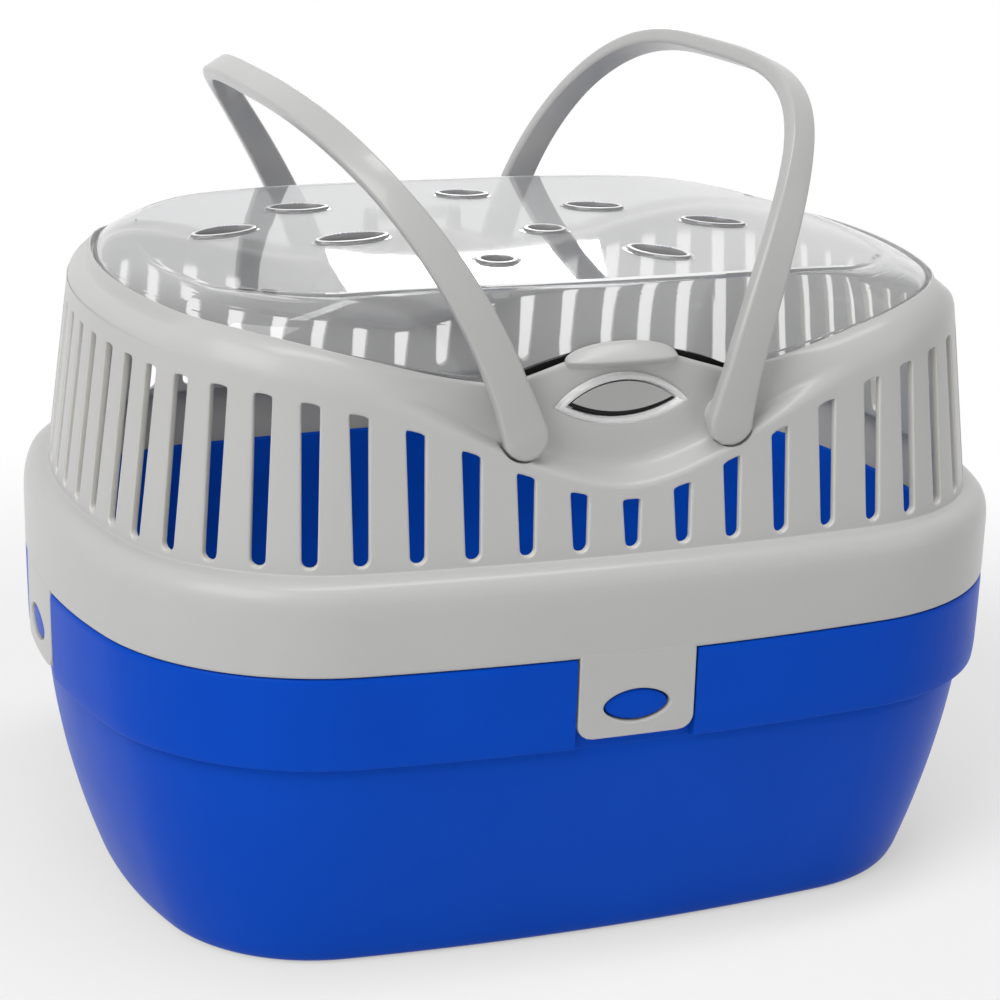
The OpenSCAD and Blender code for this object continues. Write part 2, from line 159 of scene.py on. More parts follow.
lamp("key_above_left", (-1.5, -0.9, 1.4), (0, 0, 0.1), (1.5, 1.5), 25)
lamp("strip_overhead", (0.1, -0.25, 1.7), (0, 0, 0.1), (1.3, 0.35), 9)
lamp("fill_right", (1.5, -1.2, 0.7), (0, 0, 0.1), (0.8, 1.2), 2)
window_behind = lamp("window_behind", (0.525, 1.50, 0.635), (0, 0, 0.2), (0.30, 0.15), 1.0)
window_behind.matrix_world = window_behind.matrix_world @ Matrix.Rotation(math.radians(10), 4, "Z")
bpy.context.scene.view_settings.view_transform = "Standard"

# ---- tub --------------------------------------------------------------------------------------
# One deep blue moulding with a stepped-out band, four recesses for the snap tabs and an oval peg in
# each. Its plan is flat arcs on the sides and ends with tighter arcs at the corners.
body_half_length, body_half_width = 0.150, 0.115
side_radius, end_radius, corner_radius = 0.7775, 0.2103, 0.0717
seam_height = 0.0984
run_inset = 0.010

side_centre = np.array([0, side_radius - body_half_width])
end_centre = np.array([body_half_length - end_radius, 0])
centre_gap = np.linalg.norm(end_centre - side_centre)
centre_way = (end_centre - side_centre) / centre_gap
side_reach, end_reach = side_radius - corner_radius, end_radius - corner_radius
along = (side_reach ** 2 - end_reach ** 2 + centre_gap ** 2) / (2 * centre_gap)
across = math.sqrt(side_reach ** 2 - along ** 2)
corner_centre = side_centre + along * centre_way + across * np.array([-centre_way[1], centre_way[0]])
side_turn = math.atan2(corner_centre[1] - side_centre[1], corner_centre[0] - side_centre[0])
end_turn = math.atan2(corner_centre[1], corner_centre[0] - end_centre[0])
side_run = (side_radius - run_inset) * (side_turn + math.pi / 2)
corner_run = (corner_radius - run_inset) * (end_turn - side_turn)
end_run = (end_radius - run_inset) * -end_turn
quarter = side_run + corner_run + end_run


def plan_arc(run):
    """Centre, radius and direction of the plan at a run along it, from the front's middle towards +X."""
    run = np.mod(run, 4 * quarter)
    turn = np.minimum(np.floor(run / quarter).astype(int), 3)
    v = run - turn * quarter
    v = np.where(turn % 2 == 1, quarter - v, v)
    on_side = v < side_run
    on_corner = ~on_side & (v < side_run + corner_run)
    cx = np.where(on_side, side_centre[0], np.where(on_corner, corner_centre[0], end_centre[0]))
    cy = np.where(on_side, side_centre[1], np.where(on_corner, corner_centre[1], end_centre[1]))
    radius = np.where(on_side, side_radius, np.where(on_corner, corner_radius, end_radius))
    angle = np.where(on_side, -math.pi / 2 + v / (side_radius - run_inset), np.where(
        on_corner, side_turn + (v - side_run) / (corner_radius - run_inset),
        end_turn + (v - side_run - corner_run) / (end_radius - run_inset)))
    back_half = (turn == 1) | (turn == 2)
    left_half = turn >= 2
    cy = np.where(back_half, -cy, cy)
    cx = np.where(left_half, -cx, cx)
    angle = np.where(back_half, -angle, angle)
    angle = np.where(left_half, math.pi - angle, angle)
    return cx, cy, radius, angle


def stacked(x, y, z):
    """Points from their x, y and z, any of which may be one number for all."""
    return np.stack(np.broadcast_arrays(x, y, z), axis=-1)


def on_plan(run, inset, z):
    """Points of the plan, set in by inset, at height z; the three may be arrays."""
    cx, cy, radius, angle = plan_arc(run)
    reach = radius - inset
    return stacked(cx + reach * np.cos(angle), cy + reach * np.sin(angle), z)


def offset_x(run, inset):
    """Distance of a point of the plan from the middle, along the length of the body."""
    return np.abs(on_plan(run, inset, 0.0)[..., 0])


def end_share(run):
    """0 along the sides, 1 at the ends."""
    return np.cos(plan_arc(run)[3]) ** 2


def smooth(value, low, high):
    t = np.clip((value - low) / (high - low), 0, 1)
    return t * t * (3 - 2 * t)


def mix(a, b, t):
    return a + (b - a) * t


def filleted(profile, radii, steps=3):
    """Rounds the inner corners of a profile. profile is rows of [inset, z], each an array over the columns."""
    rows = [profile[0]]
    for j in range(1, len(profile) - 1):
        corner = profile[j]
        before, after = profile[j - 1] - corner, profile[j + 1] - corner
        len_before = np.linalg.norm(before, axis=0) + 1e-9
        len_after = np.linalg.norm(after, axis=0) + 1e-9
        first = corner + before / len_before * np.minimum(radii[j], 0.48 * len_before)
        last = corner + after / len_after * np.minimum(radii[j], 0.48 * len_after)
        for k in range(steps + 1):
            t = k / steps
            rows.append((1 - t) ** 2 * first + 2 * t * (1 - t) * corner + t * t * last)
    rows.append(profile[-1])
    return rows


def rounded_rows(profile):
    """The rows of a profile of (row, radius) with its corners rounded."""
    return filleted([row for row, _ in profile], [radius for _, radius in profile])


meet = 0.000002


class Skin:
    """Gathers grids of points into one closed mesh; points that meet are merged at the end."""

    def __init__(self):
        self.points = []
        self.faces = []
        self.count = 0

    def grid(self, rows):
        """Quads between rings of equal length."""
        rows = [np.asarray(row) for row in rows]
        width = len(rows[0])
        for j in range(len(rows) - 1):
            for i in range(width):
                a, b = self.count + j * width + i, self.count + j * width + (i + 1) % width
                self.faces.append((a, b, b + width, a + width))
        self.points.append(np.concatenate(rows))
        self.count += width * len(rows)

    def cap(self, row):
        self.faces.append(tuple(range(self.count, self.count + len(row))))
        self.points.append(np.asarray(row))
        self.count += len(row)

    def triangles(self, points, faces):
        for face in faces:
            self.faces.append(tuple(self.count + i for i in face))
        self.points.append(np.asarray(points))
        self.count += len(points)

    def mesh(self, name):
        """The finished mesh: points that meet are one, and its faces point outwards."""
        work = bmesh.new()
        corners = [work.verts.new(p) for p in np.concatenate(self.points)]
        for face in self.faces:
            try:
                work.faces.new([corners[i] for i in face])
            except ValueError:
                pass
        bmesh.ops.remove_doubles(work, verts=work.verts, dist=meet)
        bmesh.ops.dissolve_degenerate(work, dist=meet, edges=work.edges)
        bmesh.ops.recalc_face_normals(work, faces=work.faces)
        return kept(work, name)


def kept(work, name):
    """A bmesh turned into a mesh of its own."""
    data = bpy.data.meshes.new(name)
    work.to_mesh(data)
    work.free()
    return data


def solid(rows, name):
    """Rings from one end to the other, closed by a cap at each, as a mesh."""
    skin = Skin()
    skin.grid(rows)
    skin.cap(rows[0][::-1])
    skin.cap(rows[-1])
    return skin.mesh(name)


def smooth_shading(data, sharpest=35):
    """Smooth shading with sharp edges only where two faces meet at a steep angle."""
    data.polygons.foreach_set("use_smooth", [True] * len(data.polygons))
    data.set_sharp_from_angle(angle=math.radians(sharpest))


def piece(name, data, body, slot, *replaced):
    """A mesh as a piece that rides a body, with the CAD nodes that it stands for hidden; slot is not used."""
    thing = bpy.data.objects.new(name, data)
    bpy.context.scene.collection.objects.link(thing)
    smooth_shading(data)
    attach(thing, body)
    if replaced:
        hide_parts(*replaced)
    return thing


def dressed(thing, *looks):
    """Gives a piece its materials, in the order of its faces' numbers."""
    thing.data.materials.clear()
    for look in looks:
        thing.data.materials.append(look)


def settled(thing):
    """The object's mesh with its modifiers applied, as a new mesh."""
    bpy.context.view_layer.update()
    data = bpy.data.meshes.new_from_object(thing.evaluated_get(bpy.context.evaluated_depsgraph_get()))
    bpy.data.objects.remove(thing)
    return data


def carved(data, cutter):
    """data with the cutter mesh taken away."""
    block = bpy.data.objects.new("block", data)
    tool = bpy.data.objects.new("tool", cutter)
    for thing in (block, tool):
        bpy.context.scene.collection.objects.link(thing)
    cut = block.modifiers.new("cut", "BOOLEAN")
    cut.operation = "DIFFERENCE"
    cut.object = tool
    cut.solver = "EXACT"
    result = settled(block)
    bpy.data.objects.remove(tool)
    return result


def around(count):
    """Angles of a full turn in equal steps."""
    return np.arange(count) * 2 * math.pi / count


def oval(width, height, count):
    """An oval with slightly pointed ends."""
    t = around(count)
    return np.stack([width / 2 * np.cos(t), height / 2 * np.sin(t) * (1 - 0.12 * np.cos(t) ** 2)], axis=-1)


tub_wall = 0.0022
band_height = 0.0704
tub_columns = np.arange(320) * 4 * quarter / 320
tub_ends = end_share(tub_columns)


def tub_inset(z):
    t = np.clip((band_height - z) / band_height, 0, 1)
    return mix(0.0033 + 0.0189 * t, 0.0058 + 0.0152 * t ** 1.87, tub_ends)


def tub_row(z, extra, on_wall):
    inset = tub_inset(z) + extra if on_wall else np.full_like(tub_columns, extra)
    return np.stack([inset, np.full_like(tub_columns, z)])


# Each row: height, distance in, whether that is from the wall or from the full plan, and its rounding.
tub_profile = [(tub_row(z, d, w), r) for z, d, w, r in (
    (0.0, 0.040, 1, 0), (0.0, 0.0024, 1, 0.0018), (0.0016, 0.0004, 1, 0.0012), (0.0045, 0.0, 1, 0.001),
    (0.012, 0.0, 1, 0.003), (0.020, 0.0, 1, 0.004), (0.034, 0.0, 1, 0.006), (0.050, 0.0, 1, 0.006),
    (0.062, 0.0, 1, 0.003), (0.0672, 0.0002, 1, 0.0012), (0.0700, 0.0010, 1, 0.0006),
    (0.0705, 0.0024, 0, 0.0002), (0.0709, 0.0007, 0, 0.0003), (0.0745, 0.0003, 0, 0.002),
    (0.086, 0.0001, 0, 0.003), (0.0968, 0.0, 0, 0.001), (0.0981, 0.0004, 0, 0.0005),
    (0.0981, 0.0029, 0, 0.0003), (0.1032, 0.0029, 0, 0.0006), (0.1038, 0.0040, 0, 0.0005),
    (0.1032, 0.0051, 0, 0.0005), (0.080, 0.0053, 0, 0.002), (0.066, tub_wall, 1, 0.002),
    (0.050, tub_wall, 1, 0.006), (0.034, tub_wall, 1, 0.006), (0.020, tub_wall, 1, 0.004),
    (0.010, 0.0025, 1, 0.003), (0.0056, 0.004, 1, 0.003), (0.0032, 0.0074, 1, 0.002),
    (0.0025, 0.0122, 1, 0.003), (0.0025, 0.042, 1, 0))]
tub_points = [on_plan(tub_columns, *row) for row in rounded_rows(tub_profile)]
rings_in = (0.02, 0.35, 0.7)
tub_points = ([tub_points[0] * [k, k, 1] for k in rings_in] + tub_points
              + [tub_points[-1] * [k, k, 1] for k in rings_in[::-1]])

tab_width, tab_gap = 0.0354, 0.0006
peg_height = 0.0828
tab_middles = {"front": 0.0, "right": quarter, "rear": 2 * quarter, "left": 3 * quarter}


def tab_recess(middle):
    """A block that cuts the band back to the neck behind a snap tab."""
    half = tab_width / 2 + tab_gap
    run = middle + np.linspace(-half, half, 17)
    rings = ((0.0035, 0.0690), (0.0035, 0.0960), (0.0029, 0.0978), (0.0029, 0.1060))
    return solid([np.concatenate([on_plan(run, -0.003, z), on_plan(run, depth, z)[::-1]])
                  for depth, z in rings], "recess")


tub_mesh = solid(tub_points, "tub_shell")
for middle in tab_middles.values():
    tub_mesh = carved(tub_mesh, tab_recess(middle))


def tab_peg(middle):
    """Oval catch peg: a low drum with a softened rim, standing in the tab's window."""
    rows = []
    for scale_x, scale_z, inset in ((1, 1, 0.0034), (1, 1, 0.0012), (0.985, 0.97, 0.00088), (0.955, 0.91, 0.0007),
                                    (0.915, 0.83, 0.0006), (0.6, 0.5, 0.00045), (0.2, 0.16, 0.0004)):
        ring = oval(0.0192, 0.009, 48) * [scale_x, scale_z]
        rows.append(on_plan(middle + ring[:, 0], inset, peg_height + ring[:, 1]))
    return solid(rows, "peg")


def joined(parts, name):
    """Several meshes as one."""
    work = bmesh.new()
    for part in parts:
        work.from_mesh(part)
    return kept(work, name)


tub_mesh = joined([tub_mesh] + [tab_peg(middle) for middle in tab_middles.values()], "tub_shell")
tub = piece("tub_shell", tub_mesh, "tub", "tub_plastic", "tub")


def grain_group():
    """Moulded plastic: a fine grain in the surface, slow waves where it shrank, and faint handling marks."""
    group = bpy.data.node_groups.new("moulded_grain", "ShaderNodeTree")
    for name, value in (("Grain Scale", 2600.0), ("Grain Depth", 0.00002), ("Wave Depth", 0.0002),
                        ("Roughness", 0.3), ("Wipe", 0.05)):
        group.interface.new_socket(name, in_out="INPUT", socket_type="NodeSocketFloat").default_value = value
    for name in ("Height", "Roughness", "Tint"):
        group.interface.new_socket(name, in_out="OUTPUT", socket_type="NodeSocketFloat")
    start, end = add(group, "NodeGroupInput"), add(group, "NodeGroupOutput")
    place = add(group, "ShaderNodeTexCoord")
    grain = add(group, "ShaderNodeTexNoise", {"Detail": 1.5})
    wave = add(group, "ShaderNodeTexNoise", {"Scale": 22.0, "Detail": 1.0})
    marks = add(group, "ShaderNodeTexNoise", {"Scale": 70.0, "Detail": 5.0, "Distortion": 0.6})
    for texture in (grain, wave, marks):
        link(group, (place, "Object", texture, "Vector"))
    grain_rise, wave_rise, wiped = (add(group, "ShaderNodeMath", operation="MULTIPLY") for _ in range(3))
    height, rough = (add(group, "ShaderNodeMath", operation="ADD") for _ in range(2))
    centred = add(group, "ShaderNodeMath", {1: 0.5}, operation="SUBTRACT")
    link(group, (start, "Grain Scale", grain, "Scale"), (grain, "Fac", grain_rise, 0),
         (start, "Grain Depth", grain_rise, 1), (wave, "Fac", wave_rise, 0), (start, "Wave Depth", wave_rise, 1),
         (grain_rise, 0, height, 0), (wave_rise, 0, height, 1), (height, 0, end, "Height"),
         (marks, "Fac", centred, 0), (centred, 0, wiped, 0), (start, "Wipe", wiped, 1),
         (start, "Roughness", rough, 0), (wiped, 0, rough, 1), (rough, 0, end, "Roughness"),
         (wave, "Fac", end, "Tint"))
    return group


moulded_grain = grain_group()


def grained(name, grain_scale, grain_depth, wave_depth, roughness, wipe):
    """A new material with the moulded grain in its roughness and bump, and its tree, shader and grain."""
    look = bpy.data.materials.new(name)
    look.use_nodes = True
    tree = look.node_tree
    shader = tree.nodes["Principled BSDF"]
    shader.inputs["IOR"].default_value = 1.49
    grain = add(tree, "ShaderNodeGroup", {"Grain Scale": grain_scale, "Grain Depth": grain_depth,
                                          "Wave Depth": wave_depth, "Roughness": roughness, "Wipe": wipe},
                node_tree=moulded_grain)
    bump = add(tree, "ShaderNodeBump", {"Distance": 1.0, "Strength": 1.0})
    link(tree, (grain, "Roughness", shader, "Roughness"), (grain, "Height", bump, "Height"),
         (bump, "Normal", shader, "Normal"))
    return look, tree, shader, grain


def moulded_plastic(name, pale, deep, roughness, coat, specular, grain_scale, grain_depth, wave_depth, wipe):
    """Opaque moulded plastic whose colour drifts a little between pale and deep."""
    look, tree, shader, grain = grained(name, grain_scale, grain_depth, wave_depth, roughness, wipe)
    shader.inputs["Coat Weight"].default_value = coat
    shader.inputs["Coat Roughness"].default_value = 0.06
    shader.inputs["Specular IOR Level"].default_value = specular
    drift = add(tree, "ShaderNodeMix", {6: (*deep, 1), 7: (*pale, 1)}, data_type="RGBA")
    link(tree, (grain, "Tint", drift, "Factor"), (drift, 2, shader, "Base Color"))
    return look


def covered(look, shade, source, output):
    """Lays a grey over a material's own colour, by as much as an output of a node in its tree says."""
    base = look.node_tree.nodes["Principled BSDF"].inputs["Base Color"]
    cover = add(look.node_tree, "ShaderNodeMix", {7: grey(shade)}, data_type="RGBA")
    look.node_tree.links.new(base.links[0].from_socket, cover.inputs[6])
    look.node_tree.links.new(cover.outputs[2], base)
    link(look.node_tree, (source, output, cover, "Factor"))


blue_plastic = moulded_plastic("deep_blue_plastic", (0.001, 0.072, 0.560), (0.001, 0.060, 0.490), 0.34, 0.0,
                               0.06, 2400, 0.000016, 0.00012, 0.08)
# Painted bounce light: for rays that bounce off the tub its colour is a pale grey instead of its blue, so the tub
# throws neutral, brighter light onto the cage, the lid and the floor.
covered(blue_plastic, 0.42, add(blue_plastic.node_tree, "ShaderNodeLightPath"), "Is Diffuse Ray")
dressed(tub, blue_plastic)

# ---- cage -------------------------------------------------------------------------------------
# One light grey moulding: a tall skirt that sits over the tub's neck, a rounded shoulder, leaning slats
# with round-footed slots between them, and a smooth collar that rises from the latch face to the ends.
cage_wall = 0.0024
slots_a_quarter = 14
foot_height = 0.1272
foot_radius, top_half_width = 0.0022, 0.0028
lip_inset, lid_inset, ledge_inset = 0.0226, 0.0234, 0.0266
slot_line, border_line, lip_line = 0.010, 0.015, 0.023


def lid_edge(x):
    """Height of the lid's lower edge: an arch over the latch, low beside it, high at the ends."""
    x = x / 0.001
    lowest, arch_rise, wing_rise = 173.4, 10.1, 17.6
    arch_end, wing_reach = 34, 93
    arch = lowest + arch_rise * (1 - np.clip(x / arch_end, 0, 1) ** 1.5)
    wing = lowest + wing_rise * (1 - np.cos(np.pi * np.clip((x - arch_end) / wing_reach, 0, 1) ** 0.85)) / 2
    return np.where(x < arch_end, arch, wing) * 0.001


def slot_top(x):
    """Height of a slot's head: short over the latch, tall from half way to the ends."""
    shortest, rise, spread = 0.141, 0.0365, 0.064
    return shortest + rise * (1 - np.exp(-(x / spread) ** 1.8))


def rim_height(x):
    return slot_top(x) + 0.0033 + 0.002 * (x / 0.140) ** 2


def wall_inset(z):
    """How far the slatted wall has leant in from the full plan at a height."""
    wall_foot, foot_inset, lean = 0.127, 0.008, 0.13
    return foot_inset + lean * (z - wall_foot)


def lip_height(x):
    return lid_edge(x) + mix(-0.0011, 0.0004, smooth(x, 0.020, 0.042))


def collar_rows(run):
    """The collar's profile from its lower border to its lip, blended between latch face, side and end."""
    x = offset_x(run, border_line)
    border, lip = rim_height(x), lip_height(offset_x(run, lip_line))
    d1 = wall_inset(border)
    top_inset = 0.0224
    mm = 0.001
    middle = (border + 8 * mm + lip) / 2
    boss = [(d1, border), (d1 + 0.8 * mm, border + 1 * mm), (d1 + 3.2 * mm, border + 2 * mm),
            (d1 + 6.6 * mm, border + 2.9 * mm), (19.3 * mm, border + 4.6 * mm), (20.2 * mm, border + 8 * mm),
            (20.8 * mm, middle), (21.3 * mm, lip - 0.8 * mm), (top_inset, lip)]
    inward = (0, 0.03, 0.09, 0.18, 0.31, 0.47, 0.66, 0.87, 1)
    upward = (0, 0.13, 0.29, 0.45, 0.62, 0.77, 0.89, 0.975, 1)
    side = [(mix(d1, top_inset, f), mix(border, lip, g)) for f, g in zip(inward, upward)]
    w = wall_inset(0.181)
    ear = [(d1, border), (wall_inset(border + mm), border + mm), (w, 181.4 * mm), (w + 0.7 * mm, 183.7 * mm),
           (w + 2.4 * mm, 185.6 * mm), (w + 4.9 * mm, 186.6 * mm), (21 * mm, 187 * mm), (21.6 * mm, 188.4 * mm),
           (top_inset, lip)]
    lean = np.degrees(np.arccos(np.minimum(1, np.abs(np.cos(plan_arc(run)[3])))))
    to_boss = 1 - smooth(x, 0.040, 0.074)
    to_ear = 1 - smooth(lean, 16, 42)
    return [np.stack([mix(mix(s[k], b[k], to_boss), e[k], to_ear) + 0 * run for k in (0, 1)])
            for b, s, e in zip(boss, side, ear)]


def slot_run(k):
    """Run of a slot's middle: a wide pitch along the side, a closer one round the end."""
    side_pitch, bend_pitch = 0.0157, 0.01395
    side_end, bend_end = 0.0785, 0.14825
    if k <= 5:
        return side_pitch * k
    if k <= 10:
        return side_end + bend_pitch * (k - 5)
    return mix(bend_end, quarter, (k - 10) / 4.5)


half_slots = [slot_run(k) for k in range(slots_a_quarter + 1)]
slot_runs = np.array(half_slots + [2 * quarter - s for s in half_slots[::-1]]
                     + [2 * quarter + s for s in half_slots[1:]] + [4 * quarter - s for s in half_slots[:0:-1]])
cells = len(slot_runs)
cell_starts = (slot_runs + np.roll(slot_runs, 1)) / 2
cell_starts[0] = (slot_runs[-1] - 4 * quarter) / 2
cell_ends = np.append(cell_starts[1:], cell_starts[0] + 4 * quarter)
across_cell = 6
cage_columns = np.concatenate([np.linspace(a, b, across_cell, endpoint=False)
                               for a, b in zip(cell_starts, cell_ends)])


def level(inset, z):
    return np.stack([inset + 0 * cage_columns, z + 0 * cage_columns])


band_foot = 0.1259
band_under, band_behind = 0.0012, 0.0022
skirt = [(level(wall_inset(band_foot) + cage_wall, band_foot - 0.0001), 0), (level(0.0100, 0.1244), 0.0012),
         (level(0.0069, 0.1232), 0.0015), (level(0.0046, 0.1225), 0.001), (level(0.0031, 0.1213), 0.001),
         (level(0.0025, 0.1184), 0.002), (level(0.0025, seam_height), 0.0004), (level(0.0004, seam_height), 0.0005),
         (level(0.0, seam_height + 0.0009), 0.0005), (level(0.0, 0.1180), 0.003), (level(0.0008, 0.1214), 0.0018),
         (level(0.0024, 0.1236), 0.0018), (level(0.0046, 0.1248), 0.0015), (level(0.0066, 0.12525), 0.0008),
         (level(0.00775, 0.12545), 0.0006), (level(wall_inset(band_foot), band_foot), 0)]
cage_skin = Skin()
cage_skin.grid([on_plan(cage_columns, *row) for row in rounded_rows(skirt)])

border = rim_height(offset_x(cage_columns, border_line))
edge = lid_edge(offset_x(cage_columns, lip_line))
lip = lip_height(offset_x(cage_columns, lip_line))
collar = collar_rows(cage_columns)
band_head = border - band_under
inner_head = border - band_behind
ledge_drop = 0.0029
crown = [(level(wall_inset(band_head), band_head), 0)]
crown += zip(collar, (0.0009, 0.001, 0.0013, 0.0016, 0.0020, 0.0035, 0.0035, 0.0009, 0.0003))
crown += [(level(lip_inset + 0.0001, lip - 0.0003), 0.0001),
          (level(lip_inset + 0.0001, edge - ledge_drop), 0.0004),
          (level(ledge_inset, edge - ledge_drop), 0.0005), (level(ledge_inset, edge - 0.0047), 0.0005)]
seat_x = offset_x(cage_columns, border_line)
seat_backing = 0.0022 * smooth(seat_x, 0.014, 0.023) * (1 - smooth(seat_x, 0.042, 0.054))
crown += [(level(collar[j][0] + cage_wall + seat_backing, collar[j][1] - drop), 0.002)
          for j, drop in ((5, 0.0026), (3, 0.0024), (1, 0.0024))]
crown += [(level(wall_inset(inner_head) + cage_wall, inner_head), 0)]
cage_skin.grid([on_plan(cage_columns, *row) for row in rounded_rows(crown)])

# The slatted band: each slot is a loop with rounded edges, and rings run from it to its cell's border.
foot_steps, side_steps = 3, 12


def slot_loop(k):
    """The edge of slot k as (run, z), from its lower left corner round by the right."""
    low, right_foot = ([(foot_radius * math.cos(a), foot_height + foot_radius * (1 + math.sin(a))) for a in turn]
                       for turn in (np.radians(np.linspace(225, 315, across_cell + 1)),
                                    np.radians(np.linspace(315, 360, foot_steps + 1))[1:]))
    corner = 0.0009
    middle = slot_runs[k]
    peak = slot_top(offset_x(middle, slot_line))

    def head(du):
        return peak + 0.8 * (slot_top(offset_x(middle + du, slot_line)) - peak)

    def climb(sign):
        top = head(sign * top_half_width)
        low_z, high_z = foot_height + foot_radius, top - corner
        z = np.linspace(low_z, high_z, side_steps - foot_steps)[1:]
        run = sign * mix(foot_radius, top_half_width, (z - low_z) / (top - low_z))
        bend = (sign * (top_half_width - 0.3 * corner), top - 0.3 * corner)
        return list(zip(run, z)) + [bend]

    top_run = np.linspace(1, -1, across_cell + 1)[1:-1] * (top_half_width - corner)
    head_row = [(du, head(du)) for du in top_run]
    right_side, left_side = climb(1), climb(-1)
    left_foot = [(-du, z) for du, z in right_foot]
    loop = low + right_foot + right_side + head_row + left_side[::-1] + left_foot[::-1]
    return np.array([(middle + du, float(z)) for du, z in loop])


def border_loop(k, head_of):
    """The border of cell k as (run, z), with as many points as the slot's loop."""
    start, end = cell_starts[k], cell_ends[k]

    def side(run):
        top = head_of(run)
        steps = [band_foot + rise for rise in (0.0009, 0.0019, 0.0032)]
        steps += list(np.linspace(steps[-1], top - band_behind, side_steps - foot_steps)[1:])
        return [(run, z) for z in steps] + [(run, top)]

    low = [(run, band_foot) for run in np.linspace(start, end, across_cell + 1)]
    top = [(run, head_of(run)) for run in np.linspace(end, start, across_cell + 1)[1:-1]]
    return np.array([(run, float(z)) for run, z in low + side(end) + top + side(start)[::-1]])


def widened(loop, distance):
    """The loop moved outwards by a distance."""
    ahead, behind = np.roll(loop, -1, axis=0) - loop, loop - np.roll(loop, 1, axis=0)

    def outward(step):
        step = step / (np.linalg.norm(step, axis=1, keepdims=True) + 1e-12)
        return np.stack([step[:, 1], -step[:, 0]], axis=-1)

    normal = outward(ahead) + outward(behind)
    normal /= np.linalg.norm(normal, axis=1, keepdims=True)
    return loop + normal * distance


slot_edge = ((0.00085, 0), (0.0006, 0), (0.00037, 0.00005), (0.00018, 0.00018), (0.00005, 0.00037), (0, 0.0006),
             (0, 0.0013), (0, cage_wall - 0.0004), (0.00012, cage_wall - 0.00012), (0.0004, cage_wall),
             (0.0006, cage_wall))
for k in range(cells):
    loop = slot_loop(k)
    outer, inner = (border_loop(k, lambda run: rim_height(offset_x(run, border_line)) - drop)
                    for drop in (band_under, band_behind))
    inner[inner[:, 1] == band_foot, 1] -= 0.0001
    rings = [(outer, 0), (mix(outer, widened(loop, 0.00085), 0.5), 0)]
    rings += [(widened(loop, wide), depth) for wide, depth in slot_edge]
    rings += [(mix(widened(loop, 0.0006), inner, 0.5), cage_wall), (inner, cage_wall)]
    cage_skin.grid([on_plan(ring[:, 0], wall_inset(ring[:, 1]) + depth, ring[:, 1]) for ring, depth in rings])
cage_mesh = cage_skin.mesh("cage_shell")


def lens(grow, count=72):
    """The latch's pointed oval in x and z: an upper arc and a lower arc that meet at two corners."""
    half, rise, fall = 0.0203, 0.0090, 0.0058
    upper, lower = (half ** 2 + rise ** 2) / (2 * rise), (half ** 2 + fall ** 2) / (2 * fall)
    upper_centre, lower_centre = rise - upper, lower - fall
    upper, lower = upper + grow, lower + grow
    gap = lower_centre - upper_centre
    meet = (upper ** 2 - lower ** 2 + gap ** 2) / (2 * gap)
    corner_z = upper_centre + meet
    corner_x = math.sqrt(upper ** 2 - meet ** 2)
    a = math.atan2(corner_z - upper_centre, corner_x)
    b = math.atan2(corner_z - lower_centre, corner_x)
    over = np.linspace(a, math.pi - a, count // 2, endpoint=False)
    under = np.linspace(-math.pi - b, b, count // 2, endpoint=False)
    points = [(upper * math.cos(t), upper_centre + upper * math.sin(t)) for t in over]
    points += [(lower * math.cos(t), lower_centre + lower * math.sin(t)) for t in under]
    return np.array(points)


lens_height = 0.1662


def prism(outline, near, far):
    """A flat outline in x and z, run through between two depths."""
    front = stacked(outline[:, 0], near, outline[:, 1])
    return solid([front, front + [0, far - near, 0]], "prism")


def drum(x, z, radius, near, far):
    t = around(48)
    return prism(np.stack([x + radius * np.cos(t), z + radius * np.sin(t)], axis=-1), near, far)


def brick(x0, x1, y0, y1, z0, z1):
    return prism(np.array([(x0, z0), (x1, z0), (x1, z1), (x0, z1)]), y0, y1)


pivot_x, pivot_z = 0.0314, 0.1608
hinge_y, hinge_z = 0.0940, 0.1840
seat_radius, peg_hole, head_room = 0.0076, 0.00356, 0.0049
lens_lift = np.array([0, lens_height])
groove, window = lens(0.00030) + lens_lift, lens(-0.0021) + lens_lift - [0, 0.00025]
cuts = [prism(groove, -0.0990, -0.0936), prism(window, -0.0990, -0.0880),
        brick(-0.0136, 0.0136, -0.09195, -0.0839, 0.1604, 0.1700),
        brick(-0.0086, 0.0086, -0.0912, -0.0832, 0.1604, 0.1864),
        brick(-0.0130, 0.0130, 0.0900, 0.0990, 0.1786, 0.1906)]
for x in (-pivot_x, pivot_x):
    for radius, near, far in ((seat_radius, 0.0976, 0.1100), (peg_hole, 0.0880, 0.0990),
                              (head_room, 0.0840, 0.09015)):
        cuts += [drum(x, pivot_z, radius, -far, -near), drum(x, pivot_z, radius, near, far)]
for cut in cuts:
    cage_mesh = carved(cage_mesh, cut)


def turned(profile, axis_x, axis_z, name):
    """Rings about a line along Y through (axis_x, axis_z), one for each (radius, y) of a closed profile."""
    t = around(48)
    ring = Skin()
    ring.grid([stacked(axis_x + r * np.cos(t), y, axis_z + r * np.sin(t)) for r, y in profile])
    return ring.mesh(name)


def pivot_pad(x, side):
    """Bearing ring behind the shelf that holds a handle's peg."""
    profile = [(peg_hole, 0.0902), (0.0050, 0.0902), (0.0053, 0.0905), (0.0053, 0.0976), (peg_hole, 0.0976),
               (peg_hole, 0.0902)]
    return turned([(r, side * y) for r, y in profile], x, pivot_z, "pad")


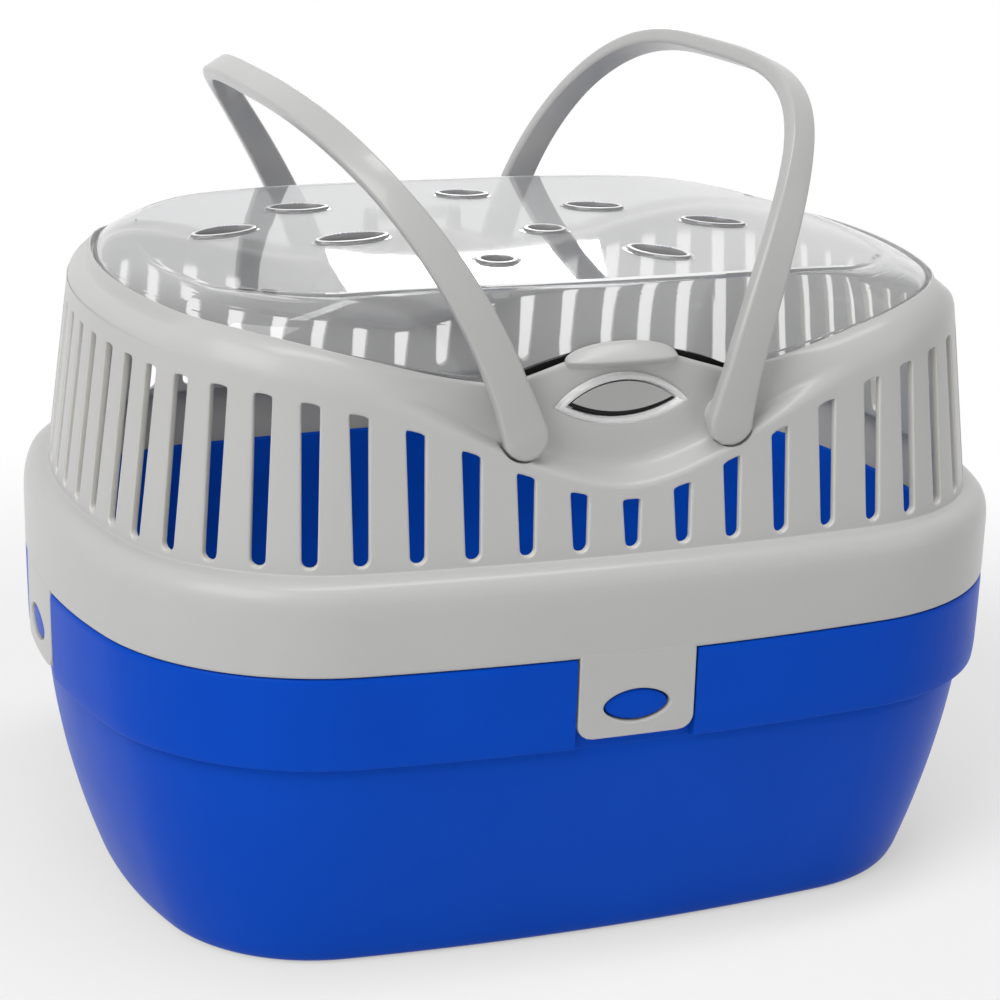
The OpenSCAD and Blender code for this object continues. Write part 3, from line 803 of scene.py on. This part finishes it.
def thumb_visor():
    """Lip over the latch for the thumb: its top slopes forward and its front edge bows out."""
    side = np.array([(-92.7, 174.9), (-93.2, 175.0), (-94.0, 176.9), (-96.2, 178.1), (-98.5, 178.9),
                     (-98.6, 179.8), (-97.0, 181.4), (-95.4, 182.7), (-94.2, 183.6), (-92.7, 184.0)]) * 0.001
    for _ in range(2):
        soft = [side[0]]
        for a, b in zip(side[:-1], side[1:]):
            soft += [mix(a, b, 0.25), mix(a, b, 0.75)]
        side = np.array(soft + [side[-1]])
    rows = []
    root_y, edge_z, half_width = side[0, 0], 0.1790, 0.0170
    for turn in np.linspace(-math.pi / 2, math.pi / 2, 49):
        share = math.cos(turn)
        y = root_y + (side[:, 0] - root_y) * share ** 0.6
        z = np.where(side[:, 1] > edge_z, edge_z + (side[:, 1] - edge_z) * share, side[:, 1])
        rows.append(stacked(half_width * math.sin(turn), y, z))
    return solid(rows, "visor")


def hinge_ear(x):
    """Ear on the back of the collar that holds one end of the lid's pin."""
    t = np.linspace(-0.25, math.pi + 0.25, 25)
    outline = [(hinge_y + 0.0026 * math.cos(a), hinge_z + 0.0026 * math.sin(a)) for a in t]
    outline += [(0.0921, 0.1740), (0.0966, 0.1740)]
    middle_y, middle_z = 0.0944, 0.1800
    return solid([np.array([(x + offset, mix(middle_y, y, size), mix(middle_z, z, size)) for y, z in outline])
                  for offset, size in ((-0.0019, 0.9), (-0.0016, 1), (0.0016, 1), (0.0019, 0.9))], "ear")


extras = [pivot_pad(x, side) for x in (-pivot_x, pivot_x) for side in (-1, 1)]
extras += [thumb_visor(), hinge_ear(-0.0153), hinge_ear(0.0153)]
cage_mesh = joined([cage_mesh] + extras, "cage_shell")
cage = piece("cage_shell", cage_mesh, "cage", "cage_plastic", "cage")


def wall_direction(x, y):
    """Unit vector out of the wall's plan at a point of the cage."""
    px, py = abs(x), -abs(y)
    turn = math.atan2(py - corner_centre[1], px - corner_centre[0])
    centre = corner_centre if side_turn < turn < end_turn else side_centre if turn <= side_turn else end_centre
    way = Vector((px - centre[0], py - centre[1], 0)).normalized()
    return Vector((math.copysign(way.x, x), math.copysign(way.y, y), 0))


grey_plastic = moulded_plastic("light_grey_plastic", (0.520, 0.518, 0.512), (0.495, 0.493, 0.487), 0.33, 0.14,
                               0.3, 2200, 0.000012, 0.00016, 0.07)
# A paler, glossier copy of the light grey for the slots' sides: painted highlight where light catches the slats'
# sides.
painted_slat_side_highlight = moulded_plastic("painted_slat_side_highlight", (0.660, 0.650, 0.610), (0.630, 0.620, 0.580), 0.34, 0.2,
                                    0.5, 2200, 0.000012, 0.00016, 0.07)
dressed(cage, grey_plastic, painted_slat_side_highlight)
# Painted highlight: faces in the slots that turn away from the wall's face take the paler copy.
for face in cage.data.polygons:
    middle = face.center
    in_slots = foot_height < middle.z < slot_top(abs(middle.x)) + 0.0006
    if in_slots and abs(face.normal.dot(wall_direction(middle.x, middle.y))) < 0.6:
        face.material_index = 1

tab_bottom, tab_head = 0.0736, 0.0998
tab_corner, tab_thickness, tab_proud = 0.0045, 0.0023, 0.00003


def snap_tab(middle):
    """A tab that hangs from the skirt, with rounded lower corners and an oval window for the peg."""
    window = oval(0.0204, 0.0100, 96)
    low, high = tab_bottom - peg_height, tab_head - peg_height
    half = tab_width / 2
    outline = []
    for u, v in window:
        reach = min(half / max(abs(u), 1e-9), (high if v > 0 else low) / v if abs(v) > 1e-9 else 1e9)
        point = np.array([u, v]) * reach
        centre = np.array([math.copysign(half - tab_corner, point[0]), low + tab_corner])
        if abs(point[0]) > half - tab_corner and point[1] < centre[1]:
            way = point - centre
            point = centre + way / np.linalg.norm(way) * tab_corner
        outline.append(point)
    outline = np.array(outline)
    rings = [(outline, tab_thickness), (outline, 0.0006), (widened(outline, -0.0001), 0.0002),
             (widened(outline, -0.0004), 0.0)]
    rings += [(mix(widened(outline, -0.0006), widened(window, 0.0008), f), 0.0) for f in (0, 0.33, 0.67, 1)]
    rings += [(widened(window, 0.0004), 0.0), (widened(window, 0.0001), 0.0002), (window, 0.0006),
              (window, tab_thickness)]
    tab = Skin()
    rows = [on_plan(middle + ring[:, 0], depth - tab_proud, peg_height + ring[:, 1]) for ring, depth in rings]
    tab.grid(rows + [rows[0]])
    return tab.mesh("snap_tab")


for place, middle in tab_middles.items():
    tab = piece("tab_" + place, snap_tab(middle), "cage", "cage_plastic", "snap_tab_" + place)
    dressed(tab, grey_plastic)

# ---- lid --------------------------------------------------------------------------------------
# One clear moulding: an apron that rises from the cage's ledge and turns over a crease onto a nearly flat
# crown with nine raised-rim air vents, a catch tongue at the front and a hinge barrel with its pin behind.
crown_height = 0.1995
lid_wall = 0.0020
lid_columns = np.arange(288) * 4 * quarter / 288
lid_ends = end_share(lid_columns)
lid_front = smooth(-on_plan(lid_columns, 0.0, 0.0)[:, 1], -0.03, 0.03)
crease_inset = 0.0325 + 0.004 * lid_ends + lid_front * (1 - lid_ends) * (0.001 + 0.018 * lid_ends)
crease_line = on_plan(lid_columns, crease_inset, 0.0)


def crown_at(x, y):
    """Height of the crown: almost flat, and falling off towards the ends."""
    end_fall, side_fall = 0.0018, 0.0004
    return crown_height - end_fall * np.abs(x / 0.090) ** 4.4 - side_fall * (y / 0.080) ** 2


vents = ((-0.0872, 0.0135, 0.018, 4), (-0.0567, 0.0395, 0.0175, -7), (-0.054, -0.0115, 0.022, 14),
         (-0.0225, -0.0518, 0.0096, 0), (0.0078, -0.0122, 0.0104, 0), (0.029, -0.0512, 0.020, -64),
         (0.0662, -0.0098, 0.018, -34), (0.0375, 0.0206, 0.017, -24), (0.003, 0.051, 0.015, -18))
vent_height = 0.0106
gap_shadow_reach = 0.0345
rim_steps = ((0, 0.0005), (0.0002, 0.0008), (0.0007, 0.0008), (0.0012, 0.0007), (0.0014, 0.0004),
             (0.0015, 0.0001), (0.0018, 0), (0.0030, 0))


def gap_shadow_top(x):
    """Upper edge of the near-black band painted on the clear wall's foot beside the latch: painted shadow for the
    dark gap between the latch face and the clear wall.
    """
    return lid_edge(x) + mix(-0.0001, 0.0009, smooth(x, 0.012, 0.029))


def vent_form(length):
    """A vent's other width and how much its ends are pinched; the short vents are round."""
    return (vent_height, 0.12) if length > 0.012 else (length, 0)


def vent_ring(vent, grow):
    """The outline of a vent, grown by a distance, on plan."""
    x, y, length, turn = vent
    high, pinch = vent_form(length)
    t = around(48)
    ring = np.stack([(length / 2 + grow) * np.cos(t),
                     (high / 2 + grow) * np.sin(t) * (1 - pinch * np.cos(t) ** 2)], axis=-1)
    a = math.radians(turn)
    return ring @ np.array([[math.cos(a), math.sin(a)], [-math.sin(a), math.cos(a)]]) + [x, y]


def in_vent(point):
    """Whether a point on plan lies in the opening of a vent."""
    for x, y, length, turn in vents:
        high, pinch = vent_form(length)
        a = math.radians(-turn)
        u = (point[0] - x) * math.cos(a) - (point[1] - y) * math.sin(a)
        v = (point[0] - x) * math.sin(a) + (point[1] - y) * math.cos(a)
        c = 2 * u / length
        if abs(c) < 1 and abs(v) < high / 2 * math.sqrt(1 - c * c) * (1 - pinch * c * c):
            return True
    return False


def lid_body():
    """The lid as a closed wall: apron rows outside and inside, then the crown with a hole for each vent."""
    x = offset_x(lid_columns, lip_line)
    z0 = lid_edge(x) - 0.0025
    zc = crown_at(crease_line[:, 0], crease_line[:, 1])
    share_in = (0, 0, 0.08, 0.22, 0.42, 0.66, 0.87, 1)
    share_up = (0, 0.14, 0.36, 0.56, 0.75, 0.9, 0.985, 1)
    profile = [np.stack([lid_inset + f * (crease_inset - lid_inset), z0 + g * (zc - z0)])
               for f, g in zip(share_in, share_up)]
    boss_front = (np.abs(x) < gap_shadow_reach) & (on_plan(lid_columns, 0.0, 0.0)[:, 1] < 0)
    profile[1][1] = np.where(boss_front, gap_shadow_top(x), profile[1][1])
    rows = filleted(profile, (0, 0.00001, 0.003, 0.004, 0.004, 0.004, 0.0012, 0), 4)
    inner = []
    for j, row in enumerate(rows):
        way = rows[min(j + 1, len(rows) - 1)] - rows[max(j - 1, 0)]
        way = way / (np.linalg.norm(way, axis=0) + 1e-12)
        inner.append(row + lid_wall * np.stack([way[1], -way[0]]))
    inner[-1] = rows[-1] + np.array([[0], [-lid_wall]])
    inner[0] = rows[0] + np.array([[lid_wall], [0]])
    shell = Skin()
    shell.grid([on_plan(lid_columns, row[0], row[1]) for row in inner[::-1] + rows])

    points = [Vector(p[:2]) for p in crease_line]
    rises = [0.0] * len(points)
    edges = [(i, (i + 1) % len(points)) for i in range(len(points))]
    for scale, skip in ((0.994, 1), (0.986, 1), (0.972, 1), (0.945, 1), (0.9, 2), (0.82, 2), (0.72, 2),
                        (0.6, 2), (0.46, 3), (0.32, 4), (0.16, 6)):
        ring = crease_line[::skip, :2] * scale
        keep = [p for p in ring if all(min(np.linalg.norm(vent_ring(v, 0.003) - p, axis=1)) > 0.0025
                                       and np.linalg.norm((p - v[:2]) / (v[2] / 2 + 0.004)) > 1 for v in vents)]
        points += [Vector(p) for p in keep]
        rises += [0.0] * len(keep)
    for vent in vents:
        for grow, rise in rim_steps:
            ring = vent_ring(vent, grow)
            first = len(points)
            points += [Vector(p) for p in ring]
            rises += [rise] * len(ring)
            edges += [(first + i, first + (i + 1) % len(ring)) for i in range(len(ring))]
    flat, _, faces, sources, _, _ = delaunay_2d_cdt(points, edges, [], 0, 1e-7)
    plan = np.array([p[:] for p in flat])
    top = crown_at(plan[:, 0], plan[:, 1])
    rise = np.array([rises[source[0]] if source else 0.0 for source in sources])
    faces = [face for face in faces if not in_vent(np.mean([plan[i] for i in face], axis=0))]
    shell.triangles(np.column_stack([plan, top + rise]), faces)
    shell.triangles(np.column_stack([plan, top - lid_wall]), [face[::-1] for face in faces])
    for vent in vents:
        ring = vent_ring(vent, 0)
        top = crown_at(ring[:, 0], ring[:, 1])
        shell.grid([np.column_stack([ring, top + rim_steps[0][1]]), np.column_stack([ring, top - lid_wall])])
    return shell.mesh("lid_body")


lid_mesh = lid_body()
sheet_faces = len(lid_mesh.polygons)


def block(*sides):
    """A block with softened edges, from its (low, high) along X, Y and Z."""
    work = bmesh.new()
    bmesh.ops.create_cube(work, size=1)
    for corner in work.verts:
        corner.co = Vector([mix(low, high, part + 0.5) for (low, high), part in zip(sides, corner.co)])
    bmesh.ops.bevel(work, geom=list(work.edges), offset=0.0003, segments=3, affect="EDGES", profile=0.5)
    return kept(work, "block")


def pin():
    """The hinge barrel between the ears, with the thinner pin that runs out through both."""
    t = around(32)
    half = ((0.0174, 0.0013), (0.0172, 0.0015), (0.0118, 0.0015), (0.0118, 0.0021), (0.0116, 0.0023))
    rows = [(-x, r) for x, r in half] + list(half[::-1])
    return solid([stacked(x, hinge_y + r * np.cos(t), hinge_z + r * np.sin(t)) for x, r in rows], "barrel")


tongue_sides, hook_foot = (-0.008, 0.008), 0.1706
lid_mesh = joined([lid_mesh, pin(), block((-0.0118, 0.0118), (0.0900, 0.0940), (0.1826, 0.1850)),
                   block(tongue_sides, (-0.0904, -0.0885), (hook_foot, 0.1816)),
                   block(tongue_sides, (-0.0886, -0.0874), (hook_foot, 0.1725))], "lid_shell")
lid = piece("lid_shell", lid_mesh, "lid", "clear_plastic", "lid")


def clear_plastic(name, tint, clearness, roughness, wave_depth, wipe):
    """Clear moulded plastic with a slight haze, faint waves and wiping marks."""
    look, tree, shader, _ = grained(name, 900, 0.0000008, wave_depth, roughness, wipe)
    shader.inputs["Base Color"].default_value = (*tint, 1)
    shader.inputs["Transmission Weight"].default_value = clearness
    lit = add(tree, "ShaderNodeBsdfTransparent", {"Color": grey(0.96)})
    pass_lamps = add(tree, "ShaderNodeMixShader")
    link(tree, (add(tree, "ShaderNodeLightPath"), "Is Shadow Ray", pass_lamps, "Fac"), (shader, 0, pass_lamps, 1),
         (lit, 0, pass_lamps, 2), (pass_lamps, 0, tree.nodes["Material Output"], "Surface"))
    return look


clear_lid = clear_plastic("clear_lid_plastic", (0.80, 0.802, 0.802), 0.90, 0.03, 0.00004, 0.03)
# Near-black plastic for the lid's foot beside the latch: painted shadow for the gap between the latch face and the
# lid.
painted_gap_shadow = moulded_plastic("painted_gap_shadow", (0.010, 0.010, 0.010), (0.007, 0.007, 0.007), 0.6, 0.0,
                           0.08, 2000, 0.00001, 0.0001, 0.05)
vent_wall = moulded_plastic("frosted_vent_wall", (0.36, 0.36, 0.36), (0.16, 0.16, 0.16), 0.25, 0.3,
                            0.5, 1500, 0.00002, 0.0001, 0.1)
# Near-white plastic for a thin strip along the crease and the tops of the vents' rims: painted highlight where the
# clear lid catches the light.
painted_crease_and_rim_highlight = moulded_plastic("painted_crease_and_rim_highlight", (0.93, 0.93, 0.93), (0.86, 0.86, 0.86), 0.2, 0.3,
                                0.5, 1500, 0.00001, 0.0001, 0.05)
dressed(lid, clear_lid, painted_gap_shadow, vent_wall, painted_crease_and_rim_highlight)

crease_angle = np.arctan2(crease_line[:, 1], crease_line[:, 0])
crease_order = np.argsort(crease_angle)
crease_turn = crease_angle[crease_order]
crease_reach = np.hypot(crease_line[:, 0], crease_line[:, 1])[crease_order]


def past_crease(x, y):
    """How far a point on plan lies inside the crease, negative outside it."""
    return np.interp(math.atan2(y, x), crease_turn, crease_reach, period=2 * math.pi) - math.hypot(x, y)


crown_foot, vents_end, rim_rise = 0.190, 0.068, 0.00062
for face in lid.data.polygons[:sheet_faces]:
    middle = face.center
    x = abs(middle.x)
    # Painted shadow: faces at the lid's foot beside the latch, up to the shadow line, get the near-black material
    # that stands for the dark gap there.
    if middle.y < -0.085 and x < gap_shadow_reach and middle.z < gap_shadow_top(x) - 0.0001:
        face.material_index = 1
    elif middle.z > crown_foot and abs(middle.y) < vents_end and abs(face.normal.z) < 0.3:
        face.material_index = 2
    # Painted highlight: faces along the crease and on the tops of the vents' raised rims get the near-white
    # material.
    elif middle.z > crown_foot and face.normal.z > 0.3:
        past = past_crease(middle.x, middle.y)
        side = 1 - smooth(x, 0.068, 0.092)
        raised = middle.z > crown_at(middle.x, middle.y) + rim_rise
        if -0.0009 * side < past < 0.0011 * side or (raised and past > 0.003):
            face.material_index = 3

# ---- handles ----------------------------------------------------------------------------------
# Two grey straps, each arched over the lid in its own leaning plane and snapped into the cage by a peg at
# either end. Both come from one tree: an arched path, a rounded section swept along it, taper and bow.
left_lean, right_lean = 31, 23
strap_section = (("Arch Height", 0.099), ("Half Span", 0.1005), ("Flare", 0.26), ("Width", 0.012),
                 ("Thickness", 0.005), ("Edge Radius", 0.0014), ("Crown Share", 0.70), ("Bow", -0.0056),
                 ("End Swell", 0.13), ("Side", 1.0), ("Lean", 0.4))


def strap_tree(look):
    tree = bpy.data.node_groups.new("strap", "GeometryNodeTree")
    for name, value in strap_section:
        tree.interface.new_socket(name, in_out="INPUT", socket_type="NodeSocketFloat").default_value = value
    tree.interface.new_socket("Geometry", in_out="OUTPUT", socket_type="NodeSocketGeometry")
    start, end = add(tree, "NodeGroupInput"), add(tree, "NodeGroupOutput")

    def feed(node, *sources):
        """Fills a node's sockets in order, each from a number, a named input or another socket."""
        for source, socket in zip(sources, node.inputs):
            if isinstance(source, (int, float)):
                socket.default_value = source
            else:
                tree.links.new(start.outputs[source] if isinstance(source, str) else source, socket)
        return node.outputs[0]

    def work(operation, *sources):
        return feed(add(tree, "ShaderNodeMath", operation=operation), *sources)

    def times(*sources):
        return work("MULTIPLY", *sources)

    def less(*sources):
        return work("SUBTRACT", *sources)

    def triple(x, y, z):
        return feed(add(tree, "ShaderNodeCombineXYZ"), x, y, z)

    # path: up from the round end, over the arch, down to the other round end
    line = add(tree, "GeometryNodeCurvePrimitiveLine")
    points = add(tree, "GeometryNodeResampleCurve", {"Count": 181})
    along = add(tree, "GeometryNodeSplineParameter").outputs["Factor"]
    end_part, arch_power, ease = 0.06, 3.35, 0.04
    radius = times("Width", 0.5)
    to_end = work("MINIMUM", along, less(1, along))
    below = times(radius, work("MINIMUM", 0, less(work("DIVIDE", to_end, end_part), 1)))
    turn = times(work("DIVIDE", less(along, end_part), 1 - 2 * end_part), math.pi)
    share = work("COSINE", work("MINIMUM", work("MAXIMUM", turn, 0), math.pi))
    fall = work("POWER", work("ABSOLUTE", share), arch_power)
    lift = work("POWER", work("MAXIMUM", less(1, fall), 0), 5 / 6)
    eased = times(1 + ease, work("DIVIDE", times(lift, lift), work("ADD", lift, ease)))
    spread = times(times("Half Span", share), work("ADD", 1, times("Flare", eased)))
    height = work("ADD", times("Arch Height", lift), below)
    keep = add(tree, "GeometryNodeCaptureAttribute", domain="POINT")
    keep.capture_items.new("FLOAT", "Lift")
    keep.capture_items.new("FLOAT", "Below")
    tree.links.new(lift, keep.inputs["Lift"])
    tree.links.new(below, keep.inputs["Below"])
    bend = add(tree, "GeometryNodeSetPosition")
    tree.links.new(triple(0, times(spread, -1), height), bend.inputs["Position"])
    flat = add(tree, "GeometryNodeSetCurveNormal", mode="FREE")
    flat.inputs["Normal"].default_value = (1, 0, 0)

    # section: a rectangle with rounded corners
    section = add(tree, "GeometryNodeCurvePrimitiveQuadrilateral")
    corners = add(tree, "GeometryNodeFilletCurve", mode="POLY")
    corners.inputs["Count"].default_value = 5
    sweep = add(tree, "GeometryNodeCurveToMesh", {"Fill Caps": False})
    link(tree, (line, "Curve", points, "Curve"), (points, "Curve", keep, "Geometry"),
         (keep, "Geometry", bend, "Geometry"), (bend, "Geometry", flat, "Curve"),
         (start, "Width", section, "Width"), (start, "Thickness", section, "Height"),
         (start, "Edge Radius", corners, "Radius"), (section, "Curve", corners, "Curve"),
         (flat, "Curve", sweep, "Curve"), (corners, "Curve", sweep, "Profile Curve"))

    # taper towards the crown, bow sideways, and round off the ends below the pivots
    place = add(tree, "ShaderNodeSeparateXYZ")
    link(tree, (add(tree, "GeometryNodeInputPosition"), 0, place, 0))
    wide, deep, tall = place.outputs
    lifted, under = keep.outputs["Lift"], keep.outputs["Below"]
    narrow = work("ADD", 1, times(less("Crown Share", 1), work("MINIMUM", 1, times(1.3, lifted))))
    narrow = work("ADD", narrow, times("End Swell", work("MAXIMUM", 0, less(1, times(8, lifted)))))
    drop = work("MAXIMUM", under, times(-1, work("ABSOLUTE", wide)))
    rounded = work("SQRT", work("MAXIMUM", 0, less(times(wide, wide), times(drop, drop))))
    bowed = times(times(4, lifted), less(1, lifted))
    across = work("ADD", times(times(work("SIGN", wide), rounded), narrow), times(times("Bow", "Side"), bowed))
    longer = times(drop, work("ADD", 1, times(1.8, "End Swell")))
    shape = add(tree, "GeometryNodeSetPosition")
    tree.links.new(triple(across, deep, work("ADD", less(tall, under), longer)), shape.inputs["Position"])
    weld = add(tree, "GeometryNodeMergeByDistance", {"Distance": 0.00001})

    # into the leaning plane over the pivots
    lean = add(tree, "GeometryNodeTransform")
    tree.links.new(triple(times("Side", pivot_x), 0, pivot_z), lean.inputs["Translation"])
    tree.links.new(triple(0, times("Side", "Lean"), 0), lean.inputs["Rotation"])
    real = add(tree, "GeometryNodeRealizeInstances")
    finish = add(tree, "GeometryNodeSetMaterial", {"Material": look})
    link(tree, (sweep, "Mesh", shape, "Geometry"), (shape, "Geometry", weld, "Geometry"),
         (weld, "Geometry", lean, "Geometry"), (lean, "Geometry", real, "Geometry"),
         (real, "Geometry", finish, "Geometry"), (finish, "Geometry", end, 0))
    return tree


handle_plastic = moulded_plastic("mid_grey_plastic", (0.465, 0.464, 0.458), (0.440, 0.439, 0.434), 0.30, 0.25,
                                 0.5, 2200, 0.000012, 0.00012, 0.08)
strap = strap_tree(handle_plastic)
sockets = {item.name: item.identifier for item in strap.interface.items_tree if item.in_out == "INPUT"}


def handle(name, side, lean):
    """A strap from the tree, with the snap peg and its head on the inner face of each end."""
    blank = bpy.data.objects.new(name, bpy.data.meshes.new(name))
    bpy.context.scene.collection.objects.link(blank)
    shape = blank.modifiers.new("strap", "NODES")
    shape.node_group = strap
    for title, value in strap_section:
        shape[sockets[title]] = value
    shape[sockets["Side"]] = float(side)
    shape[sockets["Lean"]] = math.radians(lean)
    parts = [settled(blank)]
    peg = [(0.0, 0.0985), (0.0035, 0.0985), (0.0035, 0.0898), (0.0040, 0.0897), (0.0044, 0.0893), (0.0043, 0.0889),
           (0.0038, 0.0885), (0.0, 0.0885)]
    parts += [turned([(r, end * y) for r, y in peg], side * pivot_x, pivot_z, "peg") for end in (1, -1)]
    return joined(parts, name)


for which, side, lean in (("left", -1, left_lean), ("right", 1, right_lean)):
    mesh = handle("strap_" + which, side, lean)
    dressed(piece("strap_" + which, mesh, "handle_" + which, "handle_plastic", "handle_" + which), handle_plastic)

# ---- latch ------------------------------------------------------------------------------------
# A push button behind a lens-shaped clear rim that is pressed into the cage's face, with a bent leaf
# behind the button that pushes it out again.
def bezel():
    """Half-round rim that follows the lens outline."""
    profile = ((0, -0.09365), (0, -0.0953), (-0.00008, -0.0957), (-0.0003, -0.0961), (-0.0006, -0.0964),
               (-0.00095, -0.0965), (-0.0013, -0.0964), (-0.0016, -0.0961), (-0.00182, -0.0957),
               (-0.0019, -0.0953), (-0.0019, -0.09365), (0, -0.09365))
    outlines = [(lens(grow, 120) + lens_lift, y) for grow, y in profile]
    rim = Skin()
    rim.grid([stacked(outline[:, 0], y, outline[:, 1]) for outline, y in outlines])
    return rim.mesh("bezel_rim")


rim = piece("bezel_rim", bezel(), "cage", "bezel_plastic", "latch_bezel")
dressed(rim, clear_plastic("clear_rim_plastic", (0.92, 0.92, 0.92), 0.6, 0.02, 0.00002, 0.02))

# The button's face is grey, and what lies behind it in the dark of the housing is shaded almost black.
face_depth, dark_depth = -0.09515, -0.09505
button_plastic = moulded_plastic("button_plastic", (0.450, 0.448, 0.442), (0.425, 0.423, 0.417), 0.32, 0.0,
                                 0.2, 2200, 0.000012, 0.00008, 0.08)
shade = button_plastic.node_tree
depth = add(shade, "ShaderNodeTexCoord")
split = add(shade, "ShaderNodeSeparateXYZ")
behind = add(shade, "ShaderNodeMapRange", {"From Min": face_depth, "From Max": dark_depth})
link(shade, (depth, "Object", split, 0), (split, "Y", behind, "Value"))
covered(button_plastic, 0.006, behind, "Result")

for part, look in (("latch_button", button_plastic), ("latch_spring", handle_plastic)):
    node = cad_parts[part]
    dressed(node, look)
    weld = node.modifiers.new("weld", "WELD")
    weld.merge_threshold = 0.00001
    soften = node.modifiers.new("soften", "BEVEL")
    soften.width = 0.0002
    soften.segments = 2
    soften.limit_method = "ANGLE"
    soften.angle_limit = math.radians(40)
